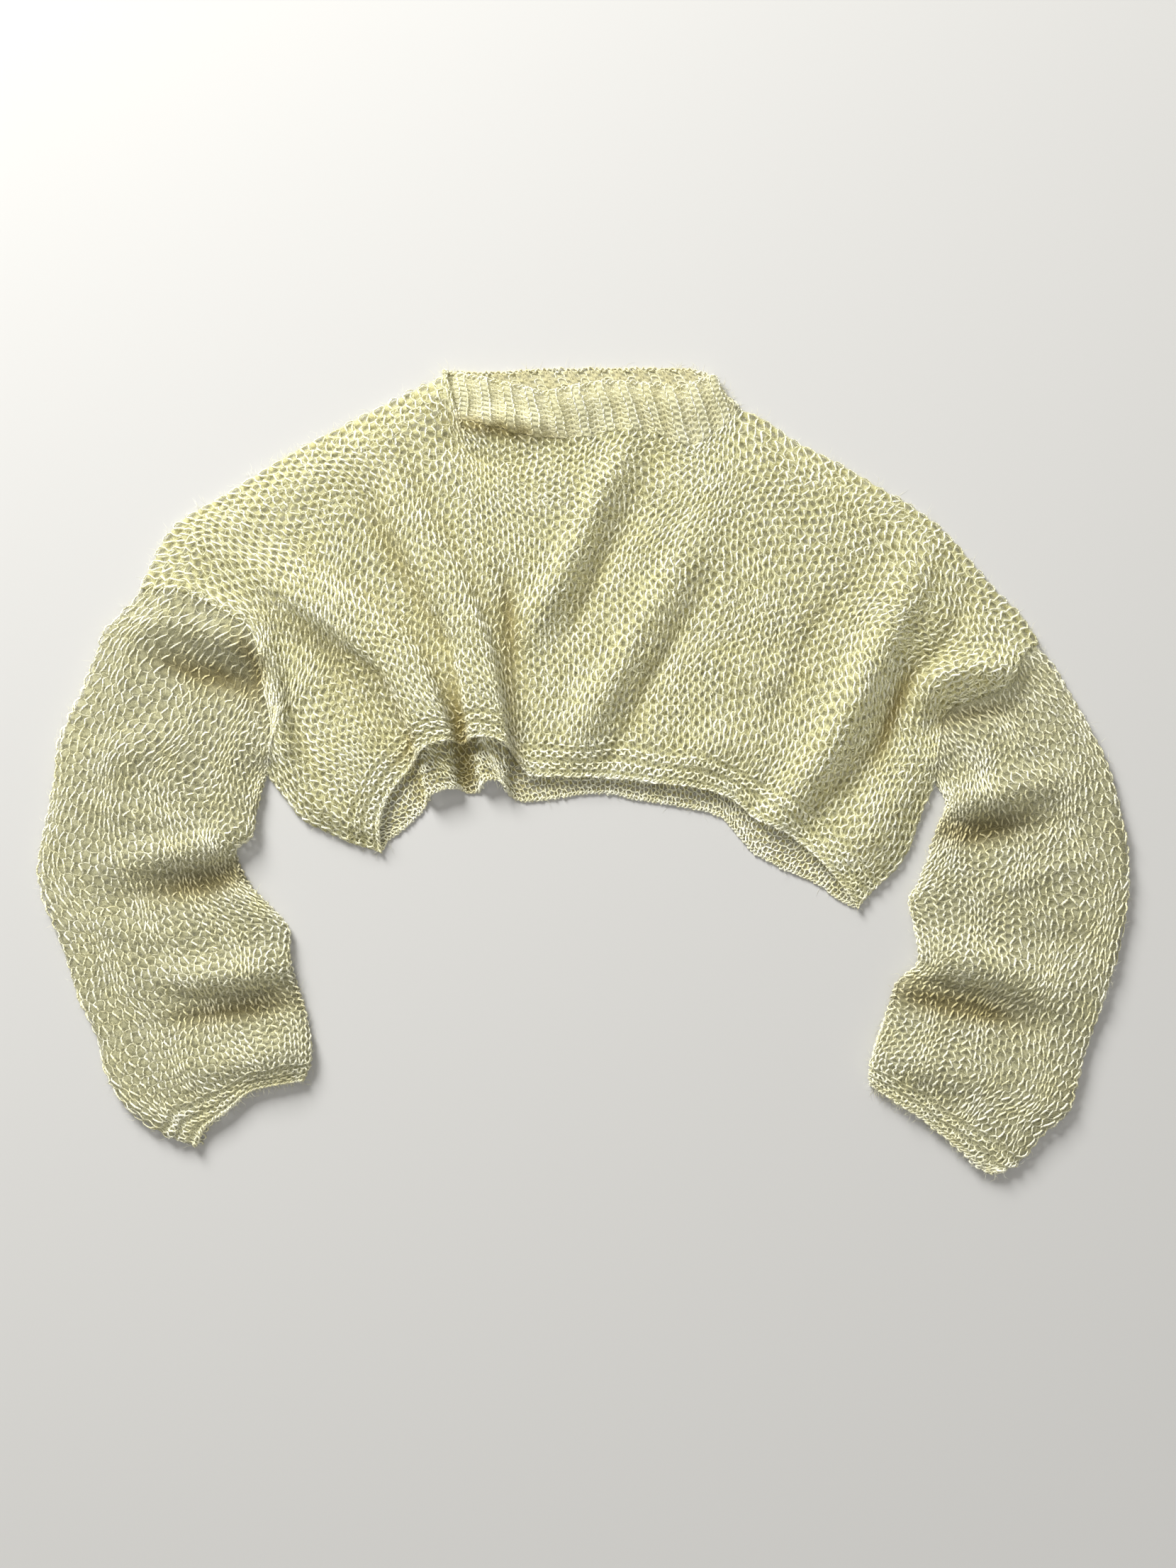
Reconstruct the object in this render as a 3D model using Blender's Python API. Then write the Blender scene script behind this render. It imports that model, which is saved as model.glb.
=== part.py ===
"""Cropped sweater in loose knitting, laid flat with its sleeves bent down beside the body.

Front and back panel, two sleeves knitted as tubes, and a ribbed neckband. Every table is in
millimetres in the plan of the laid sweater: x to the right, y towards the neck, z up from the
surface that it lies on. The model itself is in metres.
"""

import bpy
import numpy as np

MM = 0.001

# The cloth
WALL = 2.0
SEAM_GAP = 0.3
LAYER_GAP = 1.0
NECK_GAP = 0.6
NECK_SIDE_GAP = 0.2
LAYER = WALL + LAYER_GAP
FLOOR_LAYER = WALL / 2
UPPER_LAYER = FLOOR_LAYER + LAYER
SEAM_LAYER = FLOOR_LAYER + WALL + SEAM_GAP
SEAM_EASE = 14.0
PUFF = 7.0
HEM_PUFF = 0.4
HEM_EASE = 22.0
LIFT_ROUNDING = 4.0
RIDGE_POWER = 2.4
CREASE_RATE = 1.3
EDGE_TURN = 6.0
EDGE_EASE = 16.0
EDGE_DROP = 0.45
EDGE_ROOM = 0.75
LEAST_TURN = 2.8
TURN_ROWS = 3
SIDE_PULL = 4
END_PULL = 4
NECK_PULL = 3

# How each piece is divided. Columns: share of the way at the stretch's end, number of spans
ARMHOLE_SHARE = 0.6
ARMHOLE_ROWS = 10
FRONT_ROWS = ((ARMHOLE_SHARE, ARMHOLE_ROWS), (1.0, 9))
BACK_ROWS = ((ARMHOLE_SHARE, ARMHOLE_ROWS), (1.0, 7))
SHOULDER_SHARE = 0.33
NECK_START = 0.35
NECK_END = 0.665
PANEL_COLUMNS = (
    (0.14, 5), (SHOULDER_SHARE, 22), (NECK_START, 2), (0.40, 5), (NECK_END, 13), (1.0, 12),
)
NECK_FIRST_COLUMN = 29
NECK_LAST_COLUMN = 47
SLEEVE_ROWS = 26
TURN_STEPS = 4
BAND_ROWS = 4
RIBS_ACROSS = 12
COLUMNS_PER_RIB = 4
RIB_HEIGHT = 0.8

# Outlines. Columns: x, y
SHOULDER_LEFT = (
    (-345, 141), (-334, 162), (-323, 183), (-273, 217), (-222, 249),
    (-175, 273), (-131, 295), (-106, 307),
)
SHOULDER_RIGHT = (
    (121, 281), (138, 274), (167, 254), (199, 238), (231, 219), (258, 203),
    (284, 182), (303, 160), (321, 139), (343, 117), (355, 98),
)
ARMHOLE_LEFT = (
    (-345, 141), (-308, 136), (-282, 123), (-259, 109), (-250, 91), (-249, 77),
    (-244, 52), (-241, 23), (-247, -3),
)
ARMHOLE_RIGHT = (
    (355, 98), (339, 88), (331, 68), (309, 56), (284, 46), (277, 20), (274, -10),
)
SIDE_LEFT = (
    (-247, -3), (-233, -21), (-217, -40), (-201, -48), (-183, -56), (-158, -64),
)
SIDE_RIGHT = (
    (274, -10), (262, -38), (255, -59), (245, -76), (228, -92), (214, -107),
)
NECK_SIDE = ((-106, 307), (-102, 292), (-97, 272))
NECK_FRONT = (
    (-97, 272), (-67, 265), (-38, 258), (0, 258), (26, 263), (56, 261), (73, 254),
    (88, 252), (100, 260), (111, 268), (121, 281),
)
NECK_BACK = ((-97, 272), (-40, 268), (15, 268), (70, 270), (100, 272), (121, 281))
YOKE_LEFT = ((-345, 141), (-323, 183), (-273, 217), (-222, 248), (-175, 268), (-118, 284))
YOKE_NECK = ((-118, 284), (0, 284), (121, 281))
HEM_FRONT = (
    (-158, -64), (-158, -35), (-149, -15), (-135, 1), (-126, 15), (-115, 22),
    (-100, 23), (-94, 20), (-87, 25), (-73, 26), (-61, 22), (-52, 9), (-43, -2),
    (-23, -4), (15, -5), (54, -9), (89, -13), (113, -20), (136, -38), (156, -47),
    (177, -63), (197, -83), (214, -107),
)
HEM_BACK = (
    (-158, -64), (-151, -54), (-138, -44), (-125, -31), (-118, -19), (-109, -15),
    (-98, -14), (-89, -18), (-82, -17), (-75, -8), (-65, -8), (-60, -15), (-55, -21),
    (-30, -23), (-6, -19), (19, -18), (44, -23), (65, -26), (87, -30), (109, -37),
    (119, -48), (131, -62), (153, -75), (182, -88), (204, -103), (214, -107),
)
SLEEVE_LEFT_OUTER = (
    (-345, 141), (-359, 121), (-372, 108), (-380, 86), (-389, 64), (-399, 45),
    (-407, 25), (-411, -4), (-416, -34), (-422, -63), (-423, -86), (-413, -118),
    (-401, -149), (-391, -180), (-378, -206), (-371, -235), (-356, -261), (-320, -286),
    (-301, -292),
)
SLEEVE_LEFT_INNER = (
    (-247, -3), (-255, -35), (-258, -52), (-270, -62), (-264, -82), (-248, -102),
    (-230, -122), (-228, -149), (-218, -180), (-213, -204), (-213, -230), (-218, -241),
)
CUFF_LEFT = ((-301, -292), (-295, -279), (-277, -265), (-258, -249), (-242, -245), (-218, -241))
SLEEVE_RIGHT_OUTER = (
    (355, 98), (367, 78), (380, 56), (394, 32), (407, 5), (415, -22), (422, -53),
    (424, -85), (420, -125), (411, -159), (401, -189), (390, -218), (383, -248),
    (378, -265), (359, -281), (334, -309), (321, -313),
)
SLEEVE_RIGHT_INNER = (
    (274, -10), (283, -26), (275, -48), (268, -69), (260, -90), (254, -100),
    (257, -117), (260, -134), (260, -151), (243, -166), (237, -187), (228, -214),
    (223, -237), (224, -245),
)
CUFF_RIGHT = ((321, -313), (314, -311), (291, -292), (264, -271), (241, -256), (224, -245))
BAND_TOP_FRONT = (
    (-103.5, 309.5), (-75, 302), (-47, 296), (-31, 292), (-10, 296), (18, 300), (53, 298),
    (74, 296), (88, 300), (101, 306),
)
BAND_TOP_BACK = (
    (-103.5, 309.5), (-80, 308), (-38, 310), (26, 311), (66, 311), (88, 310), (101, 306),
)

# The two folds that run down into the box pleats at the hem, from the top. Columns: x, y,
# half of the crest's width, left and right wall's width in plan, height in the upper layer
# and height in the layer beneath it
PLEATS = (
    (
        (-263, 171, 5, 16, 24, 0, 0), (-221, 142, 8, 14, 20, 8, 0),
        (-177, 113, 10, 10, 17, 12, 0), (-144, 86, 11.5, 7, 12, 15, 0),
        (-125, 53, 13, 5, 5, 15, 7), (-116, 22, 14, 3.5, 3.5, 15, 11),
        (-110, -14, 15, 3.5, 3.5, 14, 10),
    ),
    (
        (-164, 263, 5, 18, 18, 2, 0), (-145, 207, 8, 14, 15, 8, 0),
        (-112, 151, 10, 11, 12, 12, 0), (-87, 102, 11, 9, 10, 14, 0),
        (-77, 61, 12.5, 6, 7.5, 15, 7), (-72, 25, 14, 3.5, 5.5, 15, 11),
        (-68, -9, 15, 3.5, 5, 14, 10),
    ),
)
PLEAT_NEST = 3.6
PLEAT_ROUNDING = 2.6
PLEAT_FADE = 12.0

# Soft folds of the upper layer: ridges, and valleys with a negative height.
# Columns: half width, then the line's x, y and height
FOLDS = {
    "left_armhole": (10, (-335, 150, 2), (-308, 136, 7), (-280, 122, 11), (-256, 106, 11),
                     (-246, 85, 9), (-243, 52, 8), (-239, 20, 6), (-238, 0, 3)),
    "left_flank": (15, (-225, 40, 1), (-200, 10, 4), (-180, -20, 5), (-170, -45, 3)),
    "left_flank_valley": (12, (-262, 118, -1), (-236, 106, -6), (-205, 88, -8), (-176, 55, -7),
                          (-150, 18, -5), (-143, -15, -2)),
    "left_chest_valley": (13, (-162, 255, 0), (-160, 205, -6), (-138, 150, -7), (-112, 98, -5)),
    "beside_pleats_valley": (11, (-72, 170, 0), (-58, 125, -5), (-50, 60, -6), (-44, 15, -4)),
    "centre": (10, (34, 285, 0), (30, 245, 5), (9, 205, 8), (-10, 163, 9), (-38, 115, 6),
               (-50, 90, 1)),
    "centre_valley": (12, (64, 265, 0), (42, 215, -5), (15, 165, -7), (-6, 115, -6), (-22, 85, -1)),
    "centre_right": (14, (98, 195, 1), (78, 162, 6), (54, 122, 8), (33, 84, 9),
                     (8, 50, 8), (-8, 15, 4)),
    "centre_right_valley": (11, (112, 165, 0), (84, 120, -5), (60, 85, -8), (38, 42, -7),
                            (22, 10, -3)),
    "right_flank": (13, (272, 185, 2), (256, 150, 8), (234, 104, 13), (205, 50, 14),
                    (176, -2, 12), (153, -34, 6)),
    "right_flank_valley": (12, (300, 155, 0), (293, 122, -6), (260, 70, -8), (232, 20, -8),
                           (190, -22, -6), (176, -45, -2)),
    "right_chest": (14, (110, 70, 0), (145, 75, 4), (170, 80, 0)),
    "right_chest_valley": (14, (235, 190, 0), (205, 140, -4), (180, 110, -5), (150, 40, -4),
                           (135, 5, 0)),
    "right_hem": (15, (150, 20, 0), (110, 20, 4), (80, 5, 3)),
    "right_corner": (14, (240, -20, 2), (215, -50, 5), (195, -68, 3)),
    "right_armhole": (11, (351, 99, 3), (332, 83, 9), (305, 78, 12), (277, 70, 12),
                      (260, 56, 9), (254, 44, 4)),
    "right_armhole_valley": (10, (345, 62, -2), (332, 48, -5), (310, 44, -7), (287, 42, -8),
                             (268, 30, -4)),
    "under_band_hollow": (12, (-112, 262, -2), (-98, 250, -6), (-70, 240, -6), (-40, 240, -2)),
    "left_arm_roll": (10, (-350, 112, 1), (-318, 112, 5), (-290, 104, 8), (-266, 94, 9),
                      (-252, 86, 6)),
    "left_arm_hollow": (12, (-256, 66, -7), (-276, 70, -11), (-305, 76, -10), (-335, 86, -4),
                        (-352, 96, 0)),
    "left_upper_arm": (14, (-395, -5, 0), (-362, 12, 4), (-325, 22, 4), (-290, 25, 0)),
    "left_fold_one": (11, (-250, -50, 8), (-285, -58, 11), (-320, -64, 9), (-352, -70, 4),
                      (-390, -74, 0)),
    "left_valley_one": (12, (-266, -80, -6), (-290, -88, -9), (-330, -94, -8), (-378, -102, -1)),
    "left_fold_two": (11, (-226, -148, 8), (-260, -156, 11), (-292, -160, 9), (-330, -160, 3),
                      (-365, -158, 0)),
    "left_valley_two": (11, (-215, -178, -5), (-250, -185, -8), (-288, -190, -7),
                        (-345, -198, 0)),
    "left_fold_three": (13, (-214, -220, 5), (-245, -224, 7), (-275, -228, 5), (-310, -232, 2),
                        (-345, -236, 0)),
    "right_fold_one": (12, (276, -18, 5), (300, -22, 11), (332, -16, 11), (362, -8, 5),
                       (398, -8, 0)),
    "right_valley_one": (12, (268, -50, -5), (300, -52, -8), (338, -44, -8), (385, -40, -1)),
    "right_outer_valley": (10, (345, -128, 0), (372, -130, -5), (402, -136, -1)),
    "right_fold_two": (15, (258, -140, 8), (299, -148, 13), (332, -158, 12), (358, -170, 7),
                       (390, -184, 0)),
    "right_valley_two": (12, (240, -176, -5), (278, -182, -9), (320, -191, -9), (374, -207, -1)),
    "right_fold_three": (14, (226, -222, 5), (260, -228, 6), (300, -236, 4), (345, -240, 0)),
    "band_roll": (9, (-93, 270, 2), (-65, 272, 6), (-35, 266, 4), (-15, 266, 0)),
}

COLOURS = {
    "front": (0.83, 0.79, 0.50),
    "back": (0.76, 0.72, 0.45),
    "sleeve_left": (0.81, 0.77, 0.48),
    "sleeve_right": (0.81, 0.77, 0.48),
    "neckband": (0.85, 0.80, 0.52),
}


def smooth_line(points, places, fine=24):
    """Rows of a smooth curve through the points, at places that are shares of its plan length."""
    points = np.array(points, float)
    steps = np.linalg.norm(np.diff(points[:, :2], axis=0), axis=1)
    knots = np.concatenate([[0.0], np.cumsum(steps)])
    slopes = np.gradient(points, knots, axis=0)
    along = np.linspace(0.0, knots[-1], fine * len(steps) + 1)
    piece = np.clip(np.searchsorted(knots, along, side="right") - 1, 0, len(steps) - 1)
    reach = steps[piece][:, None]
    share = (along - knots[piece])[:, None] / reach
    line = (
        points[piece] * (2 * share**3 - 3 * share**2 + 1)
        + points[piece + 1] * (3 * share**2 - 2 * share**3)
        + slopes[piece] * reach * (share**3 - 2 * share**2 + share)
        + slopes[piece + 1] * reach * (share**3 - share**2)
    )
    run = np.concatenate([[0.0], np.cumsum(np.linalg.norm(np.diff(line[:, :2], axis=0), axis=1))])
    wanted = np.asarray(places, float) * run[-1]
    return np.stack([np.interp(wanted, run, line[:, k]) for k in range(line.shape[1])], axis=-1)


def joined_line(parts, limits, places):
    """One curve made of several, each filling its own stretch of 0 to 1 between the limits."""
    places = np.asarray(places, float)
    points = np.zeros((len(places), 2))
    for part, low, high in zip(parts, limits[:-1], limits[1:]):
        inside = (places >= low - 1e-9) & (places <= high + 1e-9)
        points[inside] = smooth_line(part, (places[inside] - low) / (high - low))
    return points


def patch(first, last, left, right, across, down):
    """Rows that change from a first to a last one, their ends pulled to both side outlines."""
    u = across[None, :, None]
    v = down[:, None, None]
    left_pull = left[:, None] - (1 - v) * first[0] - v * last[0]
    right_pull = right[:, None] - (1 - v) * first[-1] - v * last[-1]
    rows = (1 - v) * first + v * last
    return rows + (1 - u) ** SIDE_PULL * left_pull + u**SIDE_PULL * right_pull


def straight_patch(first, last, left, right, across, down):
    """Straight rows between two side outlines, pulled to a curved first and last one."""
    u = across[None, :, None]
    v = down[:, None, None]
    first_pull = first - (1 - across[:, None]) * first[0] - across[:, None] * first[-1]
    last_pull = last - (1 - across[:, None]) * last[0] - across[:, None] * last[-1]
    rows = (1 - u) * left[:, None] + u * right[:, None]
    return rows + (1 - v) ** END_PULL * first_pull + v**END_PULL * last_pull


def distance_to(points, line):
    """Distance in plan from each point to a curve, and the share of the curve it is nearest to."""
    fine = smooth_line(line, np.linspace(0.0, 1.0, 80))
    gaps = np.linalg.norm(points[..., None, :2] - fine[:, :2], axis=-1)
    nearest = gaps.argmin(axis=-1)
    return np.take_along_axis(gaps, nearest[..., None], axis=-1)[..., 0], fine[nearest]


def fold_height(points):
    """Height that the soft folds add at points in plan: flat-topped ridges and creased valleys."""
    height = np.zeros(points.shape[:-1])
    for width, *line in FOLDS.values():
        gap, row = distance_to(points, line)
        reach = gap / width
        ridge = np.exp(-(reach**RIDGE_POWER))
        crease = np.exp(-CREASE_RATE * reach)
        height = height + row[..., 2] * np.where(row[..., 2] > 0, ridge, crease)
    return height


def upper_height(points):
    """Middle of the upper layer's wall: close to the lower layer at the seams that join them."""
    seams = (SHOULDER_LEFT, SHOULDER_RIGHT, SIDE_LEFT, SIDE_RIGHT)
    gap = np.min([distance_to(points, seam)[0] for seam in seams], axis=0)
    ease = 1.0 - np.exp(-((gap / SEAM_EASE) ** 2))
    hems = (HEM_FRONT, NECK_FRONT, CUFF_LEFT, CUFF_RIGHT)
    gap = np.min([distance_to(points, hem)[0] for hem in hems], axis=0)
    lift = PUFF * (1.0 - (1.0 - HEM_PUFF) * np.exp(-((gap / HEM_EASE) ** 2)))
    lift = lift + fold_height(points)
    lift = 0.5 * (lift + np.sqrt(lift**2 + LIFT_ROUNDING))
    return SEAM_LAYER + (UPPER_LAYER - SEAM_LAYER + lift) * ease


def length_along(points):
    """Length of a run of points up to each of them."""
    steps = np.linalg.norm(np.diff(points, axis=0), axis=1)
    return np.concatenate([[0.0], np.cumsum(steps)])


def at(places, known, values):
    """Values between known places, column by column."""
    return np.stack([np.interp(places, known, column) for column in values.T], axis=-1)


def pleat_corners(row, run, is_upper):
    """Foot and crest of each pleat's walls, where a row of plan points climbs over it."""
    corners = [(0.0, 0.0)]
    for line in PLEATS:
        fine = smooth_line(line, np.linspace(0.0, 1.0, 200))
        gaps = np.linalg.norm(row[:, None, :] - fine[None, :, :2], axis=-1)
        place, nearest = np.unravel_index(gaps.argmin(), gaps.shape)
        crest, left_wall, right_wall, upper, under = fine[nearest, 2:]
        crest = crest if is_upper else crest - PLEAT_NEST
        height = max(upper if is_upper else under, 0.0)
        height = height * np.exp(-((gaps[place, nearest] / PLEAT_FADE) ** 2))
        foot, crest_end = -crest - left_wall, crest + right_wall
        for side, rise in ((foot, 0.0), (-crest, height), (crest, height), (crest_end, 0.0)):
            corners.append((max(run[place] + side, corners[-1][0] + 0.01), rise))
    corners.append((run[-1], 0.0))
    return np.array(corners)


def rounded(profile, step=0.5):
    """A run of points with its corners rounded to PLEAT_ROUNDING and both ends kept."""
    length = length_along(profile)
    profile = at(np.linspace(0.0, length[-1], int(length[-1] / step) + 1), length, profile)
    reach = int(4 * PLEAT_ROUNDING / step)
    offsets = np.arange(-reach, reach + 1) * step
    kernel = np.exp(-0.5 * (offsets / PLEAT_ROUNDING) ** 2)
    before = 2 * profile[0] - profile[reach:0:-1]
    after = 2 * profile[-1] - profile[-2:-reach - 2:-1]
    padded = np.concatenate([before, profile, after])
    smooth = [np.convolve(column, kernel / kernel.sum(), "valid") for column in padded.T]
    return np.stack(smooth, axis=-1)


def pleated_row(shares, row, is_upper, places):
    """Points at places along a row that climbs over the pleats, and the way out of the cloth."""
    run = length_along(row)
    corners = pleat_corners(row, run, is_upper)
    share = np.linspace(0.0, 1.0, 30)
    swell = 3 * share**2 - 2 * share**3
    climbs = [
        np.stack([low[0] + (high[0] - low[0]) * share, low[1] + (high[1] - low[1]) * swell], axis=1)
        for low, high in zip(corners[:-1], corners[1:])
    ]
    profile = rounded(np.concatenate(climbs))
    slope = np.gradient(profile, axis=0)
    slope /= np.linalg.norm(slope, axis=1)[:, None]
    along = np.interp(profile[:, 0], run, shares)
    stretch = np.diff(length_along(profile)) / np.maximum(np.abs(np.diff(profile[:, 0])), 0.02)
    worked = np.concatenate([[0.0], np.cumsum(np.maximum(np.diff(along), 2e-5) * stretch)])
    worked /= worked[-1]
    spot = at(places, worked, profile)
    slope = at(places, worked, slope)
    plan = at(spot[:, 0], run, row)
    ahead = at(spot[:, 0], run, np.gradient(row, axis=0))
    ahead /= np.linalg.norm(ahead, axis=1)[:, None]
    points = np.concatenate([plan, spot[:, 1:]], axis=1)
    out = np.concatenate([-slope[:, 1:] * ahead, slope[:, :1]], axis=1)
    return points, out / np.linalg.norm(out, axis=1)[:, None]


def spans(table):
    """Places from 0 to 1 for a table of stretches."""
    places, low = [0.0], 0.0
    for high, count in table:
        places.extend(low + (high - low) * (k + 1) / count for k in range(count))
        low = high
    return np.array(places)


def panel(neck, hem, rows, is_upper, places):
    """Middle of a panel's wall and the way out of it, row by row from the shoulders to the hem."""
    limits = (0.0, SHOULDER_SHARE, NECK_START, NECK_END, 1.0)
    top_parts = (SHOULDER_LEFT, NECK_SIDE, neck, SHOULDER_RIGHT)
    yoke_limits = (0.0, SHOULDER_SHARE, NECK_END, 1.0)
    yoke_parts = (YOKE_LEFT, YOKE_NECK, SHOULDER_RIGHT)
    side_limits = (0.0, ARMHOLE_SHARE, 1.0)
    fine = np.linspace(0.0, 1.0, 1501)
    yoke = joined_line(yoke_parts, yoke_limits, fine)
    dip = joined_line(top_parts, limits, fine) - yoke
    down = spans(rows)
    grid = patch(
        yoke, smooth_line(hem, fine),
        joined_line((ARMHOLE_LEFT, SIDE_LEFT), side_limits, down),
        joined_line((ARMHOLE_RIGHT, SIDE_RIGHT), side_limits, down),
        fine, down,
    )
    grid += (1.0 - down[:, None, None]) ** NECK_PULL * dip
    made = [pleated_row(fine, row, is_upper, places) for row in grid]
    points = np.array([row for row, _ in made])
    out = np.array([way for _, way in made])
    points[..., 2] += upper_height(points) if is_upper else FLOOR_LAYER
    return points, out


def moved_line(line, way):
    """Plan points moved square to their line, to its left for a positive way."""
    ahead = np.gradient(line, axis=0)
    ahead /= np.linalg.norm(ahead, axis=1)[:, None]
    return line + way * np.stack([-ahead[:, 1], ahead[:, 0]], axis=1)


def tube_round(upper, under, least):
    """One round of a flattened tube: over the top from one edge to the other and back under."""
    run = length_along(upper)
    gap = np.minimum(run, run[-1] - run)
    drop = 1.0 - EDGE_DROP * np.exp(-((gap / EDGE_EASE) ** 2))
    top = UPPER_LAYER + (upper_height(upper) - UPPER_LAYER) * drop
    points, out = [], []
    turn = np.linspace(-np.pi / 2, np.pi / 2, TURN_STEPS + 1)
    share = (0.5 + 0.5 * np.sin(turn))[:, None]
    for edge, beside, order in ((0, 1, 1), (-1, -2, -1)):
        inward = share * (upper[beside] - upper[edge]) + (1 - share) * (under[beside] - under[edge])
        room = EDGE_ROOM * np.linalg.norm(inward, axis=1).min()
        inward /= np.linalg.norm(inward, axis=1)[:, None]
        half = max((top[edge] - FLOOR_LAYER) / 2, least)
        reach = min(half, EDGE_TURN, room)
        plan = upper[edge] + inward * (reach * (1 - np.cos(turn)))[:, None]
        height = FLOOR_LAYER + half * (1 + np.sin(turn))
        way = np.concatenate(
            [-inward * (np.cos(turn) / reach)[:, None], (np.sin(turn) / half)[:, None]], axis=1
        )
        points.append(np.concatenate([plan, height[:, None]], axis=1)[::order])
        out.append((way / np.linalg.norm(way, axis=1)[:, None])[::order])
    over = np.concatenate([upper[1:-1], top[1:-1, None]], axis=1)
    below = np.concatenate([under[-2:0:-1], np.full((len(under) - 2, 1), FLOOR_LAYER)], axis=1)
    up = np.tile([0.0, 0.0, 1.0], (len(over), 1))
    down = np.tile([0.0, 0.0, -1.0], (len(below), 1))
    ring = np.concatenate([points[0], over, points[1], below])
    return ring, np.concatenate([out[0], up, out[1], down])


def tube(layers, seam_row):
    """Middle of a flattened tube's wall and the way out of it; flattest in its seam's row."""
    count = len(layers[0])
    far = np.minimum(np.abs(np.arange(count) - seam_row) / TURN_ROWS, 1.0)
    least = WALL / 2 + SEAM_GAP / 2 + (LEAST_TURN - WALL / 2) * far
    made = [tube_round(*rows) for rows in zip(*layers, least)]
    return np.array([ring for ring, _ in made]), np.array([way for _, way in made])


def sleeve(armhole_upper, armhole_under, outer, inner, cuff, way, down):
    """Middle of a sleeve's wall and the way out of it, round by round from armhole to cuff."""
    layers = []
    for armhole in (armhole_upper, armhole_under):
        start = moved_line(armhole[:, :2], way * SEAM_GAP)
        shares = np.linspace(0.0, 1.0, len(start))
        run = length_along(start)
        tuck = (WALL / 2 + SEAM_GAP) / run[-1]
        ends = at(np.array([tuck, 1.0 - tuck]) * run[-1], run, start)
        start[0], start[-1] = ends
        layers.append(straight_patch(
            start, smooth_line(cuff, shares),
            smooth_line((tuple(ends[0]), *outer[1:]), down),
            smooth_line((tuple(ends[1]), *inner[1:]), down),
            shares, down,
        ))
    ring, out = tube(layers, seam_row=0)
    return (ring, out) if way < 0 else (ring[:, ::-1], out[:, ::-1])


def neckband(front_neck, back_neck, down):
    """Middle of the neckband's wall and the way out of it, from its top edge to its seam."""
    layers = []
    for neck, top in ((front_neck, BAND_TOP_FRONT), (back_neck, BAND_TOP_BACK)):
        seam = moved_line(neck[:, :2], NECK_GAP)
        seam[0] += (WALL + NECK_SIDE_GAP, 0.0)
        seam[-1] -= (WALL / 2 + SEAM_GAP, 0.0)
        run = length_along(seam)
        shares = np.linspace(0.0, 1.0, COLUMNS_PER_RIB * RIBS_ACROSS + 1)
        seam = at(shares * run[-1], run, seam)
        top = smooth_line(top, shares)
        layers.append((1 - down[:, None, None]) * top + down[:, None, None] * seam)
    return tube(layers, seam_row=len(down) - 1)


def rib_height(columns):
    """Height of the neckband's ribs round its ring: raised on the upper half's outside only."""
    count = COLUMNS_PER_RIB * RIBS_ACROSS - 1
    places = np.arange(1, count + 1) / COLUMNS_PER_RIB
    ribs = np.zeros(columns)
    ribs[TURN_STEPS + 1:TURN_STEPS + 1 + count] = RIB_HEIGHT * np.sin(np.pi * places) ** 2
    return ribs[None, :, None]


def add_object(name, points, faces):
    """A named object from points in millimetres, with its own material, in the sweater."""
    mesh = bpy.data.meshes.new(name)
    mesh.from_pydata([tuple(point * MM) for point in points], [], faces)
    mesh.validate()
    mesh.shade_smooth()
    item = bpy.data.objects.new(name, mesh)
    sweater.objects.link(item)
    material = bpy.data.materials.new(name + "_knit")
    material.use_nodes = True
    shader = material.node_tree.nodes["Principled BSDF"]
    shader.inputs["Base Color"].default_value = (*COLOURS[name], 1.0)
    shader.inputs["Roughness"].default_value = 0.9
    shader.inputs["Metallic"].default_value = 0.0
    mesh.materials.append(material)
    return item


def wall_object(name, outer, inner, ring):
    """A closed wall between two skins of equal grids; a ring joins its last column to its first."""
    rows, columns = outer.shape[:2]
    count = rows * columns
    across = columns if ring else columns - 1
    faces = []
    for row in range(rows - 1):
        for column in range(across):
            beside = (column + 1) % columns
            a, b = row * columns + column, row * columns + beside
            c, d = a + columns, b + columns
            faces.append((a, c, d, b))
            faces.append((count + a, count + b, count + d, count + c))
    for column in range(across):
        beside = (column + 1) % columns
        a, b = column, beside
        faces.append((a, b, count + b, count + a))
        a, b = (rows - 1) * columns + column, (rows - 1) * columns + beside
        faces.append((b, a, count + a, count + b))
    if not ring:
        for row in range(rows - 1):
            a, b = row * columns, (row + 1) * columns
            faces.append((b, a, count + a, count + b))
            a, b = a + columns - 1, b + columns - 1
            faces.append((a, b, count + b, count + a))
    points = np.concatenate([outer.reshape(-1, 3), inner.reshape(-1, 3)])
    return add_object(name, points, faces)


for old in list(bpy.data.objects):
    bpy.data.objects.remove(old, do_unlink=True)
sweater = bpy.data.collections.new("cropped_sweater")
bpy.context.scene.collection.children.link(sweater)

columns = spans(PANEL_COLUMNS)
front, front_out = panel(NECK_FRONT, HEM_FRONT, FRONT_ROWS, True, columns)
back, back_out = panel(NECK_BACK, HEM_BACK, BACK_ROWS, False, columns)
wall_object("front", front + front_out * WALL / 2, front - front_out * WALL / 2, ring=False)
wall_object("back", back + back_out * WALL / 2, back - back_out * WALL / 2, ring=False)

down = np.linspace(0.0, 1.0, SLEEVE_ROWS + 1)
armhole = slice(0, ARMHOLE_ROWS + 1)
for name, column, outer, inner, cuff, way in (
    ("sleeve_left", 0, SLEEVE_LEFT_OUTER, SLEEVE_LEFT_INNER, CUFF_LEFT, -1),
    ("sleeve_right", -1, SLEEVE_RIGHT_OUTER, SLEEVE_RIGHT_INNER, CUFF_RIGHT, 1),
):
    ring, out = sleeve(
        front[armhole, column], back[armhole, column], outer, inner, cuff, way, down
    )
    wall_object(name, ring + out * WALL / 2, ring - out * WALL / 2, ring=True)

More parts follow.
